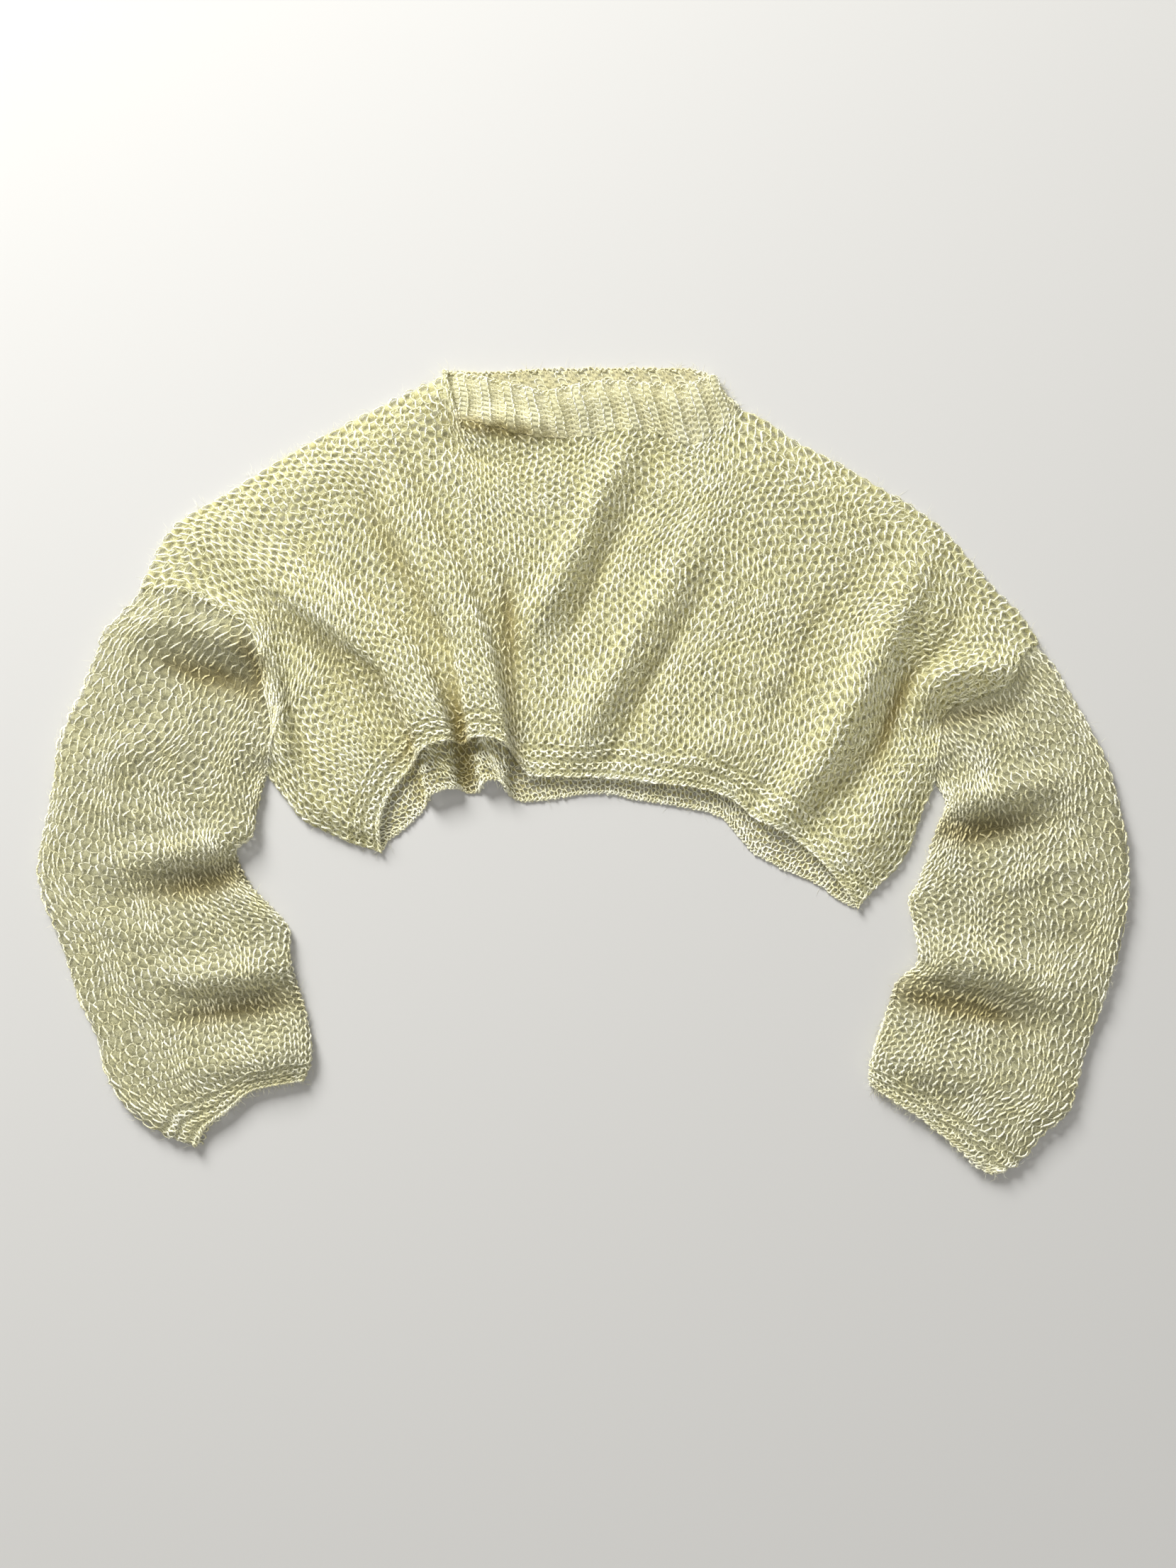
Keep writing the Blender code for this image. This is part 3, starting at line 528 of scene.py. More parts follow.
def knit_place(cloth, x, y):
    """Shares across and down a cloth for a place in stitches and rows, with hand knitting's drift."""
    turn = 2 * math.pi * x / cloth.stitches
    free = cloth.drift * np.clip(np.minimum(y, cloth.rows - y) / DRIFT_EASE, 0.0, 1.0)
    if not cloth.is_ring:
        free = free * np.clip(np.minimum(x, cloth.stitches - x) / DRIFT_EASE, 0.0, 1.0)
    aside, along = (
        sum(size * np.sin(waves * turn + shift * y + start) for size, waves, shift, start in drift)
        for drift in (DRIFT_ASIDE, DRIFT_ALONG)
    )
    x, y = x + free * aside, y + free * along
    plain = cloth.rows - cloth.border
    down = np.minimum(y, plain) + BORDER_HEIGHT * np.maximum(y - plain, 0.0)
    return x / cloth.stitches, down / (plain + BORDER_HEIGHT * cloth.border)


def on_cloth(cloth, u, v, lift):
    """Points at shares u across and v down a cloth, lifted out of it; the way out and the painted
    shade.
    """
    rows, columns = cloth.grid.shape[0] - 1, cloth.grid.shape[1] - 1
    x, y = (u % 1.0 if cloth.is_ring else u) * columns, v * rows
    i = np.clip(np.floor(y).astype(int), 0, rows - 1)
    j = np.clip(np.floor(x).astype(int), 0, columns - 1)
    y, x = (y - i)[..., None], (x - j)[..., None]
    point, way, deep = (
        (a[i, j] * (1 - x) + a[i, j + 1] * x) * (1 - y)
        + (a[i + 1, j] * (1 - x) + a[i + 1, j + 1] * x) * y
        for a in (cloth.grid, cloth.way, cloth.deep)
    )
    way = way / np.linalg.norm(way, axis=-1)[..., None]
    return point + way * np.asarray(lift)[..., None], way, deep[..., 0]


def piece_of(name, slot, material, points, faces, tones, **maps):
    """A smooth piece of the sweater from points in millimetres, riding on its one body.

    tones are values at its points that its material reads, and maps are its places on flat sheets.
    """
    mesh = bpy.data.meshes.new(name)
    mesh.from_pydata((points * MM).tolist(), [], faces)
    mesh.shade_smooth()
    for key, values in tones.items():
        mesh.attributes.new(key, "FLOAT", "POINT").data.foreach_set("value", values.ravel())
    for key, places in maps.items():
        mesh.uv_layers.new(name=key).data.foreach_set("uv", places.ravel())
    mesh.materials.append(material)
    piece = bpy.data.objects.new(name, mesh)
    bpy.context.scene.collection.objects.link(piece)
    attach(piece, "root")
    return piece


def around(side, up):
    """The three corners of a strand's cross section, about its two directions."""
    turn = (np.arange(3) * 2 * math.pi / 3)[None, :, None]
    return np.cos(turn) * side[:, None] + np.sin(turn) * up[:, None]


def add_strand(name, slot, material, path, way, deep, spot, radius):
    """A closed three-sided tube round a path, with maps of its length and its place on the sheet."""
    path[:, 2] = np.maximum(path[:, 2], radius)
    ahead = np.gradient(path, axis=0)
    ahead /= np.linalg.norm(ahead, axis=1)[:, None]
    side = np.cross(ahead, way)
    side /= np.linalg.norm(side, axis=1)[:, None]
    rounds = around(side, np.cross(side, ahead))
    points = (path[:, None] + radius[:, None, None] * rounds).reshape(-1, 3)
    step, k = np.meshgrid(np.arange(len(path) - 1), np.arange(3), indexing="ij")
    steps = np.stack([step, step + 1, step + 1, step], axis=-1).reshape(-1, 4)
    sides = np.stack([k, k, k + 1, k + 1], axis=-1).reshape(-1, 4)
    faces = steps * 3 + sides % 3
    last = 3 * len(path) - 1
    ends = [[0, 1, 2], [last, last - 1, last - 2]]
    run = length_along(path)
    turn = np.arange(4) * 2 * math.pi / 3
    across = MAP_YARN * np.stack([np.cos(turn), np.sin(turn)], axis=-1)
    places, strand = [], []
    for near, corner in ((steps, sides), (np.repeat([0, -1], 3), np.array([0, 1, 2, 2, 1, 0]))):
        places.append(np.clip(spot[near] + across[corner], 0.0, 1.0).reshape(-1, 2))
        strand.append(np.stack([run[near], corner / 3], axis=-1).reshape(-1, 2))
    return piece_of(
        name, slot, material, points, faces.tolist() + ends, {"Hollow": np.repeat(deep, 3)},
        OFBake=np.concatenate(places), Strand=np.concatenate(strand),
    )


def knit_path(cloth, steps, face, seed, lean=LOOP_LEAN, uneven=1.0):
    """Path of the one strand that knits a cloth, back and forth on a panel or round a tube.

    face gives, at a stitch and row, 1 for a knit stitch and -1 for a purl one, the relief and a
    shift along the row. lean is how far a stitch's legs lean, in stitches, and uneven is how much
    the stitches differ.
    """
    stitches, rows = cloth.stitches, cloth.rows
    rng = np.random.default_rng(seed)
    total = rows * stitches * steps
    step = np.arange(total + 1)
    row = np.minimum(step // (stitches * steps), rows - 1)
    across = (step - row * stitches * steps) / steps
    turn = across * 2 * math.pi
    known = np.arange(rows * stitches + 4) * steps
    loose = [np.interp(step, known, line) for line in rng.normal(0.0, uneven, (6, len(known)))]
    kink = rng.normal(0.0, uneven, (3, total + 1))
    x = across + lean * (1.0 + LEAN_STRAY * loose[3]) * np.sin(2 * turn)
    y = row + 0.5 + LOOP_HEIGHT * (1.0 + HEIGHT_STRAY * loose[4]) * np.cos(turn)
    if cloth.is_ring:
        y = y + across / stitches - 0.5
    else:
        x = np.where(row % 2 == 0, x, stitches - x)
    x = x + LOOP_SHIFT * loose[0] + YARN_KINK * kink[0]
    y = y + LOOP_SHIFT * loose[1] + YARN_KINK * kink[1]
    knit, relief, aside = face(x, row)
    legs = -knit * np.cos(2 * turn)
    lift = relief + LOOP_DEPTH * legs + DEPTH_STRAY * loose[2] + DEPTH_KINK * kink[2]
    radius = YARN_RADIUS * (1.0 + LEG_SHARE * legs + RADIUS_STRAY * loose[5])
    u, v = knit_place(cloth, x + aside, y)
    return (*on_cloth(cloth, u, v, lift), np.stack([u % 1.0, v], axis=-1), radius)


def edge_path(cloth, v, side, seed):
    """Path of one of the two strands that chain the last stitches off along an edge."""
    rng = np.random.default_rng(seed)
    step = np.arange(EDGE_STEPS * cloth.stitches + 1)
    turn = step * 2 * math.pi / EDGE_STEPS + side * math.pi
    u = step / (EDGE_STEPS * cloth.stitches) + rng.normal(0.0, EDGE_SHIFT, len(step))
    height = np.linalg.norm(np.diff(cloth.grid, axis=0), axis=-1).sum(axis=0).mean()
    swing = EDGE_SWING * np.cos(turn) - EDGE_INSET + rng.normal(0.0, EDGE_STRAY, len(step))
    down = v + EDGE_RADIUS * swing / height
    lift = EDGE_RADIUS * np.sin(turn) + rng.normal(0.0, EDGE_LIFT_STRAY, len(step))
    radius = YARN_RADIUS * (EDGE_THICKNESS + EDGE_BULGE * np.sin(3 * turn))
    spot = np.stack([u % 1.0, np.clip(down, 0, 1)], axis=-1)
    return (*on_cloth(cloth, u, down, lift), spot, radius)


def add_fuzz(name, slot, material, cloth, count, seed, rise):
    """Loose fibres that stand from a cloth: thin closed spindles, each bent in the middle."""
    rng = np.random.default_rng(seed)
    u, v = rng.uniform(0.0, 1.0, (2, count))
    rim = rng.uniform(0.0, 1.0, count) < RIM_SHARE
    v = np.where(rim, rng.choice([RIM_INSET, 1.0 - RIM_INSET], count), v)
    start, way, deep = on_cloth(cloth, u, v, rng.normal(FIBRE_START, FIBRE_START_STRAY, count))
    wander = rng.normal(0.0, 1.0, (count, 3))
    ahead = wander - way * (wander * way).sum(1)[:, None]
    ahead /= np.linalg.norm(ahead, axis=1)[:, None]
    ahead += way * rng.normal(rise, FIBRE_RISE_STRAY, count)[:, None]
    ahead /= np.linalg.norm(ahead, axis=1)[:, None]
    length = rng.gamma(FIBRE_EVENNESS, FIBRE_LENGTH / FIBRE_EVENNESS, count)
    length = np.minimum(length, 2 * FIBRE_LENGTH)[:, None]
    side = np.cross(ahead, way)
    side /= np.linalg.norm(side, axis=1)[:, None]
    up = np.cross(side, ahead)
    bend = side * rng.normal(0.0, FIBRE_BEND, count)[:, None]
    bend = bend + up * rng.normal(0.0, FIBRE_ARCH, count)[:, None]
    line = np.stack([start, start + (0.5 * ahead + bend) * length, start + ahead * length])
    line[..., 2] = np.maximum(line[..., 2], LEAST_HEIGHT)
    middle = line[1][:, None] + FIBRE_RADIUS * around(side, up)
    points = np.concatenate([line[0][:, None], middle, line[2][:, None]], axis=1)
    fibre = np.array([(0, 1, 2), (0, 3, 1), (0, 2, 3), (4, 2, 1), (4, 3, 2), (4, 1, 3)])
    faces = (np.arange(count)[:, None, None] * 5 + fibre).reshape(-1, 3)
    across = MAP_FIBRE * np.array([(-3, 0), (0, 1), (0.4, -1), (-0.4, -1), (3, 0)])
    places = np.clip(np.stack([u, v], axis=-1)[:, None] + across, 0.0, 1.0).reshape(-1, 2)
    return piece_of(
        name, slot, material, points.reshape(-1, 3), faces.tolist(), {"Hollow": np.repeat(deep, 5)},
        OFBake=places[faces],
    )


def add_haze(name, slot, material, cloth, fine, relief=None, under=HAZE_UNDER):
    """The cloth's haze of fibres: a closed thin shell round its strand, fine spans to a stitch.

    The strand's legs stand out of the outer skin. relief gives the height that the haze follows at
    a stitch, and under is how far in its inner skin lies.
    """
    rows, columns = round(cloth.rows * fine), round(cloth.stitches * fine)
    y, x = np.meshgrid(
        np.linspace(0, cloth.rows, rows + 1), np.linspace(0, cloth.stitches, columns + 1),
        indexing="ij",
    )
    u, v = knit_place(cloth, x, y)
    rise = np.zeros(u.shape) if relief is None else relief(x)
    skins = [on_cloth(cloth, u, v, rise + side) for side in (HAZE_OVER, -under)]
    wide = columns if cloth.is_ring else columns + 1
    faces, knit, bake = [], [], []

    def add(corners, margin=None):
        """Adds faces from their corners' rows, columns and skins, with their places on the maps.

        On the bake's map the outer skin lies below and the inner one above, mirrored. A rim has a
        margin: it goes from the outer skin's edge out into the empty space beside it.
        """
        faces.append(np.stack([
            (skin * (rows + 1) + a) * wide + b % wide for a, b, skin in corners
        ], axis=-1))
        knit.append(np.stack([
            np.stack([b / columns * cloth.stitches, a / rows * cloth.rows], -1)
            for a, b, skin in corners
        ], axis=-2))
        places = []
        for a, b, skin in corners:
            start, way = (1 - MAP_EDGE, -1) if skin and not margin else (MAP_EDGE, 1)
            right, above = margin if skin and margin else (0.0, 0.0)
            places.append(np.stack([
                MAP_EDGE + (1 - 2 * MAP_EDGE) * b / columns + right,
                start + above + way * (0.5 - 2 * MAP_EDGE) * a / rows,
            ], -1))
        bake.append(np.stack(places, axis=-2))

    i, j = np.divmod(np.arange(rows * columns), columns)
    add([(i, j, 0), (i + 1, j, 0), (i + 1, j + 1, 0), (i, j + 1, 0)])
    add([(i, j, 1), (i, j + 1, 1), (i + 1, j + 1, 1), (i + 1, j, 1)])
    i, j = np.zeros(columns, int), np.arange(columns)
    add([(i, j, 0), (i, j + 1, 0), (i, j + 1, 1), (i, j, 1)], (0.0, -MAP_EDGE / 2))
    i = i + rows
    add([(i, j + 1, 0), (i, j, 0), (i, j, 1), (i, j + 1, 1)], (0.0, MAP_EDGE / 2))
    if not cloth.is_ring:
        i, j = np.arange(rows), np.zeros(rows, int)
        add([(i + 1, j, 0), (i, j, 0), (i, j, 1), (i + 1, j, 1)], (-MAP_EDGE / 2, 0.0))
        j = j + columns
        add([(i, j, 0), (i + 1, j, 0), (i + 1, j, 1), (i, j, 1)], (MAP_EDGE / 2, 0.0))
    points = np.concatenate([skin[0][:, :wide].reshape(-1, 3) for skin in skins])
    points[:, 2] = np.maximum(points[:, 2], LEAST_HEIGHT)
    deep = np.concatenate([skin[2][:, :wide].ravel() for skin in skins])
    inside = np.repeat([0.0, 1.0], len(points) // 2)
    bake, knit = (np.concatenate(places).reshape(-1, 2) for places in (bake, knit))
    return piece_of(
        name, slot, material, points, np.concatenate(faces).tolist(),
        {"Hollow": deep, "Inside": inside}, OFBake=bake, Stitches=knit,
    )


def linear(colour):
    """An sRGB hex colour as the linear one that a shader takes."""
    parts = [int(colour[k:k + 2], 16) / 255 for k in (1, 3, 5)]
    return [p / 12.92 if p <= 0.04045 else ((p + 0.055) / 1.055) ** 2.4 for p in parts] + [1.0]


def add_node(material, kind, links=(), **settings):
    """Adds a node with its settings; links are (socket, output or value) pairs for its inputs."""
    tree = material.node_tree
    node = tree.nodes.new(kind)
    for key, value in settings.items():
        setattr(node, key, value)
    for socket, source in links:
        if isinstance(source, bpy.types.NodeSocket):
            tree.links.new(source, node.inputs[socket])
        else:
            node.inputs[socket].default_value = source
    return node


def new_material(name):
    """A material, its principled shader and what adds a node to it or a link."""
    material = bpy.data.materials.new(name)
    material.use_nodes = True
    shader = material.node_tree.nodes["Principled BSDF"]
    return material, shader, partial(add_node, material), material.node_tree.links.new


# Mohair and silk strand, two plies lightly twisted: the silk gives the pale gleam along the plies,
# the brushed mohair a soft sheen. The plies turn once in 2.6 mm and stand 0.2 mm high. The dye is a
# little uneven, in clouds 17 mm wide and specks of 1.4 mm, given per metre. In a fold's hollow the
# colour is painted darker, as painted shade.
YARN_TWIST = 2.6
PLY_HEIGHT = 0.2 * MM
DYE_CLOUDS = 60.0
DYE_SPECKS = 700.0
# Pale and deep colours of the dye, then the colour of the painted shade in the hollows
YARN_COLOURS_AND_PAINTED_SHADE = ("#FFFFEE", "#F6F2C8", "#B8A968")


def yarn_material(name, pale, deep, hollow, twisted):
    """Strand or fibre of mohair and silk; hollow is the colour of the painted shade in a fold's
    hollow.
    """
    material, shader, add, link = new_material(name)
    place = add("ShaderNodeTexCoord").outputs["Object"]
    clouds, specks = (
        add("ShaderNodeTexNoise", [("Vector", place), ("Scale", scale), ("Detail", detail)])
        for scale, detail in ((DYE_CLOUDS, 3.0), (DYE_SPECKS, 2.0))
    )
    both = add("ShaderNodeMath", [(0, clouds.outputs["Fac"]), (1, specks.outputs["Fac"])],
               operation="ADD")
    dye = add("ShaderNodeMapRange", [("Value", both.outputs[0]), ("From Min", 0.8),
                                     ("From Max", 1.15)])
    tone = add("ShaderNodeMix", [("Factor", dye.outputs[0]), (6, linear(deep)), (7, linear(pale))],
               data_type="RGBA")
    # Painted shade: the colour turns towards the hollow colour where the cloth lies in a fold's
    # hollow
    painted_fold_shade = add("ShaderNodeAttribute", attribute_name="Hollow").outputs["Fac"]
    share = add("ShaderNodeMath", [(0, painted_fold_shade), (1, 0.75)], operation="MULTIPLY")
    painted_shade_tint = add("ShaderNodeMix", [("Factor", share.outputs[0]), (6, tone.outputs[2]),
                                 (7, linear(hollow))], data_type="RGBA")
    link(painted_shade_tint.outputs[2], shader.inputs["Base Color"])
    shader.inputs["Roughness"].default_value = 0.55
    shader.inputs["IOR"].default_value = 1.55
    shader.inputs["Sheen Weight"].default_value = 0.25
    shader.inputs["Sheen Roughness"].default_value = 0.35
    if twisted:
        strand = add("ShaderNodeUVMap", uv_map="Strand").outputs["UV"]
        split = add("ShaderNodeSeparateXYZ", [("Vector", strand)])
        along = add("ShaderNodeMath", [(0, split.outputs["X"]), (1, 2 * math.pi / YARN_TWIST)],
                    operation="MULTIPLY")
        phase = add("ShaderNodeMath", [(0, split.outputs["Y"]), (1, 2 * math.pi),
                                       (2, along.outputs[0])], operation="MULTIPLY_ADD")
        ply = add("ShaderNodeMath", [(0, phase.outputs[0])], operation="SINE")
        bump = add("ShaderNodeBump", [("Height", ply.outputs[0]), ("Strength", 0.5),
                                      ("Distance", PLY_HEIGHT)])
        link(bump.outputs["Normal"], shader.inputs["Normal"])
    return material


# Haze of brushed mohair between the strands: a web of curling hairs over a thinner mist in clouds
# 14 mm wide, seen through in the middle of each opening of the knitting. The hairs curl every 2 to
# 4 mm and are drawn coarser than real ones so that they show.
MIST_CLOUDS = 70.0
HAIR_WIDTH = 0.035
# Pale and deep colours of the mist, then the colour of its painted shade in the hollows
HAZE_COLOURS_AND_PAINTED_SHADE = ("#F3F1C4", "#DCD899", "#9E9056")

# How thick the haze is in the middle of an opening, beside the strands and on its outer skin
OPENING_SHARE = 0.3
STRAND_SHARE = 1.25
OUTER_SHARE = 0.85

# The layers of the web of hairs. Columns: waves in a metre, how much they curl
HAIR_WEB = ((230.0, 1.2), (340.0, 2.0), (480.0, 1.5))


def haze_material(name, pale, deep, hollow, mist, web):
    """Haze of brushed fibres with the thickness of its mist and its web of hairs; hollow is its
    painted shade.
    """
    material, shader, add, link = new_material(name)
    place = add("ShaderNodeTexCoord").outputs["Object"]
    cloud = add("ShaderNodeTexNoise", [("Vector", place), ("Scale", MIST_CLOUDS), ("Detail", 4.0)])
    cloud = cloud.outputs["Fac"]
    tone = add("ShaderNodeMix", [("Factor", cloud), (6, linear(deep)), (7, linear(pale))],
               data_type="RGBA")
    # Painted shade: towards the hollow colour in a fold's hollow, where the haze is also made thicker
    # below
    painted_fold_shade = add("ShaderNodeAttribute", attribute_name="Hollow").outputs["Fac"]
    painted_shade_tint = add("ShaderNodeMix", [("Factor", painted_fold_shade), (6, tone.outputs[2]), (7, linear(hollow))],
               data_type="RGBA")
    link(painted_shade_tint.outputs[2], shader.inputs["Base Color"])
    thick = 0.0
    for scale, curl in HAIR_WEB:
        noise = add("ShaderNodeTexNoise", [("Vector", place), ("Scale", scale), ("Detail", 1.0),
                                           ("Distortion", curl)])
        far = add("ShaderNodeMath", [(0, noise.outputs["Fac"]), (1, 0.5)], operation="SUBTRACT")
        gap = add("ShaderNodeMath", [(0, far.outputs[0])], operation="ABSOLUTE")
        hair = add("ShaderNodeMapRange", [("Value", gap.outputs[0]), ("From Max", HAIR_WIDTH),
                                          ("To Min", web), ("To Max", 0.0)])
        most = add("ShaderNodeMath", [(0, hair.outputs[0]), (1, thick)], operation="MAXIMUM")
        thick = most.outputs[0]
    thin = add("ShaderNodeMapRange", [("Value", cloud), ("From Min", 0.3), ("From Max", 0.7),
                                      ("To Min", mist), ("To Max", 2 * mist)])
    full = add("ShaderNodeMath", [(0, thick), (1, thin.outputs[0])], operation="ADD")
    knit = add("ShaderNodeUVMap", uv_map="Stitches").outputs["UV"]
    turns = add("ShaderNodeVectorMath", [(0, knit), (1, (2 * math.pi,) * 3)], operation="MULTIPLY")
    split = add("ShaderNodeSeparateXYZ", [("Vector", turns.outputs[0])])
    across = add("ShaderNodeMath", [(0, split.outputs["X"])], operation="COSINE")
    down = add("ShaderNodeMath", [(0, split.outputs["Y"])], operation="SINE")
    cell = add("ShaderNodeMath", [(0, across.outputs[0]), (1, down.outputs[0])],
               operation="MULTIPLY")
    opening = add("ShaderNodeMapRange", [("Value", cell.outputs[0]), ("From Min", -0.5),
                                         ("From Max", 0.5), ("To Min", OPENING_SHARE),
                                         ("To Max", STRAND_SHARE)])
    filled = add("ShaderNodeMapRange", [("Value", painted_fold_shade), ("To Min", 0.0), ("To Max", 0.7)])
    cover = add("ShaderNodeMath", [(0, opening.outputs[0]), (1, filled.outputs[0])],
                operation="MAXIMUM")
    inside = add("ShaderNodeAttribute", attribute_name="Inside").outputs["Fac"]
    skin = add("ShaderNodeMapRange", [("Value", inside), ("To Min", OUTER_SHARE), ("To Max", 1.0)])
    both = add("ShaderNodeMath", [(0, cover.outputs[0]), (1, skin.outputs[0])],
               operation="MULTIPLY")
    alpha = add("ShaderNodeMath", [(0, full.outputs[0]), (1, both.outputs[0])],
                operation="MULTIPLY")
    total = add("ShaderNodeMath", [(0, painted_fold_shade), (1, 0.25), (2, alpha.outputs[0])],
                operation="MULTIPLY_ADD", use_clamp=True)
    link(total.outputs[0], shader.inputs["Alpha"])
    shader.inputs["Roughness"].default_value = 0.9
    shader.inputs["Sheen Weight"].default_value = 0.2
    return material


def garter_face(rows):
    """Knit side out down to a border of garter stitch: which way a stitch faces, and its relief."""
    def face(x, row):
        garter = np.where(row % 2 == 0, 1.0, -1.0)
        return np.where(row >= rows - BORDER_ROWS, garter, 1.0), 0.0, 0.0
    return face


def knit_piece(name, cloth, face, haze, seed, steps, edge, fibres, rise, fine, v=1.0,
               lean=LOOP_LEAN, uneven=1.0, **shell):
    """Knits a piece and returns its haze, which stands for it, and the rest of it.

    That is its strand, the two strands that chain off its edge at v, and its loose fibres.
    """
    slot = name + "_knit"
    path = knit_path(cloth, steps, face, seed, lean, uneven)
    pieces = [add_strand(name + "_yarn", slot, yarn_stuff, *path)]
    for side in (0, 1):
        path = edge_path(cloth, v, side, seed + 2 + side)
        strand_name = "%s_%s_strand_%d" % (name, edge, side + 1)
        pieces.append(add_strand(strand_name, slot, yarn_stuff, *path))
    pieces.append(add_fuzz(name + "_fuzz", slot, fuzz_stuff, cloth, fibres, seed + 1, rise))
    return add_haze(name + "_cloth", slot, haze, cloth, fine, **shell), pieces


yarn_stuff = yarn_material("mohair_silk_strand", *YARN_COLOURS_AND_PAINTED_SHADE, True)
fuzz_stuff = yarn_material("brushed_mohair_fibres", *YARN_COLOURS_AND_PAINTED_SHADE, False)
haze_stuff = haze_material("mohair_haze", *HAZE_COLOURS_AND_PAINTED_SHADE, 0.10, 0.42)
front = cloth_of(panel(NECK_FRONT, HEM_FRONT, True), False, BODY_STITCHES, BODY_ROWS, BORDER_ROWS)
front_cloth, front_pieces = knit_piece(
    "front", front, garter_face(BODY_ROWS), haze_stuff, seed=11, steps=12, edge="hem",
    fibres=14000, rise=0.3, fine=2,
)
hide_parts("front")

# Back panel
#
# Knitted like the front panel and laid with its knit side down, so that its purl side shows inside
# the hem and behind the neck, in the shade of the front.

# The same haze inside the sweater, thicker and in darker colours: painted shade, because the inside
# lies in the front's shade, so that the inside looks deep
shaded_haze = haze_material("mohair_haze_inside_in_painted_shade", "#C8C189", "#A59C64", "#8B7F4A", 0.20, 0.55)
back = cloth_of(
    panel(NECK_BACK, HEM_BACK, False)[:, ::-1], False, BODY_STITCHES, BODY_ROWS, BORDER_ROWS
)
back_cloth, back_pieces = knit_piece(
    "back", back, garter_face(BODY_ROWS), shaded_haze, seed=21, steps=8, edge="hem",
    fibres=3000, rise=0.0, fine=1, under=0.0,
)
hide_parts("back")

# Sleeves
#
# Each is knitted round and round as a tube, knit side out, and ended in a border of garter stitch.
# They lie bent down beside the body, with three soft folds on the inside of each bend.

# How a flattened tube turns over at its edges, where it is flattest and how it follows its ends
EDGE_TURN = 6.0
EDGE_EASE = 16.0
EDGE_DROP = 0.45
EDGE_ROOM = 0.75
LEAST_TURN = 2.8
TURN_STEPS = 8
TURN_SHARE = 0.115
END_PULL = 4

# The knitting, and how much more painted shade its colour gets than the body's
SLEEVE_STITCHES = 36
SLEEVE_ROUNDS = 50
SPANS_PER_ROUND = 2
ARMHOLE_POINTS = 40
SLEEVE_PAINTED_SHADE = 0.12

# Outlines. Columns: x, y
SLEEVE_LEFT_OUTER = (
    (-345, 141), (-359, 121), (-372, 108), (-380, 86), (-389, 64), (-399, 45),
    (-407, 25), (-411, -4), (-416, -34), (-422, -63), (-423, -86), (-413, -118),
    (-401, -149), (-391, -180), (-378, -206), (-371, -235), (-356, -261), (-320, -286),
    (-301, -292),
)
SLEEVE_LEFT_INNER = (
    (-247, -3), (-255, -35), (-258, -52), (-270, -62), (-264, -82), (-248, -102),
    (-230, -122), (-228, -149), (-218, -180), (-213, -204), (-213, -230), (-218, -241),
)
SLEEVE_RIGHT_OUTER = (
    (355, 98), (367, 78), (380, 56), (394, 32), (407, 5), (415, -22), (422, -53),
    (424, -85), (420, -125), (411, -159), (401, -189), (390, -218), (383, -248),
    (378, -265), (359, -281), (334, -309), (321, -313),
)
SLEEVE_RIGHT_INNER = (
    (274, -10), (283, -26), (275, -48), (268, -69), (260, -90), (254, -100),
    (257, -117), (260, -134), (260, -151), (243, -166), (237, -187), (228, -214),
    (223, -237), (224, -245),
)


def straight_patch(first, last, left, right, across, down):
    """Straight rows between two side outlines, pulled to a curved first and last one."""
    u = across[None, :, None]
    v = down[:, None, None]
    first_pull = first - (1 - across[:, None]) * first[0] - across[:, None] * first[-1]
    last_pull = last - (1 - across[:, None]) * last[0] - across[:, None] * last[-1]
    rows = (1 - u) * left[:, None] + u * right[:, None]
    return rows + (1 - v) ** END_PULL * first_pull + v**END_PULL * last_pull


def moved_line(line, way):
    """Plan points moved square to their line, to its left for a positive way."""
    ahead = np.gradient(line, axis=0)
    ahead /= np.linalg.norm(ahead, axis=1)[:, None]
    return line + way * np.stack([-ahead[:, 1], ahead[:, 0]], axis=1)


def tube_round(upper, under, least):
    """One round of a flattened tube: over the top from one edge to the other and back under."""
    run = length_along(upper)
    gap = np.minimum(run, run[-1] - run)
    drop = 1.0 - EDGE_DROP * np.exp(-((gap / EDGE_EASE) ** 2))
    top = UPPER_LAYER + (upper_height(upper) - UPPER_LAYER) * drop
    turn = np.linspace(-np.pi / 2, np.pi / 2, TURN_STEPS + 1)
    share = (0.5 + 0.5 * np.sin(turn))[:, None]
    edges = []
    for edge, beside, order in ((0, 1, 1), (-1, -2, -1)):
        inward = share * (upper[beside] - upper[edge]) + (1 - share) * (under[beside] - under[edge])
        room = EDGE_ROOM * np.linalg.norm(inward, axis=1).min()
        inward /= np.linalg.norm(inward, axis=1)[:, None]
        half = max((top[edge] - FLOOR_LAYER) / 2, least)
        plan = upper[edge] + inward * (min(half, EDGE_TURN, room) * (1 - np.cos(turn)))[:, None]
        height = FLOOR_LAYER + half * (1 + np.sin(turn))
        edges.append(np.concatenate([plan, height[:, None]], axis=1)[::order])
    over = np.concatenate([upper[1:-1], top[1:-1, None]], axis=1)
    below = np.concatenate([under[-2:0:-1], np.full((len(under) - 2, 1), FLOOR_LAYER)], axis=1)
    return np.concatenate([edges[0], over, edges[1], below])


def tube(upper, under, down, seam_share):
    """Middle of a flattened tube's wall, from the plans of its two layers; flattest at its seam."""
    far = np.minimum(np.abs(down - seam_share) / TURN_SHARE, 1.0)
    least = WALL / 2 + SEAM_GAP / 2 + (LEAST_TURN - WALL / 2) * far
    return np.array([tube_round(*rows) for rows in zip(upper, under, least)])


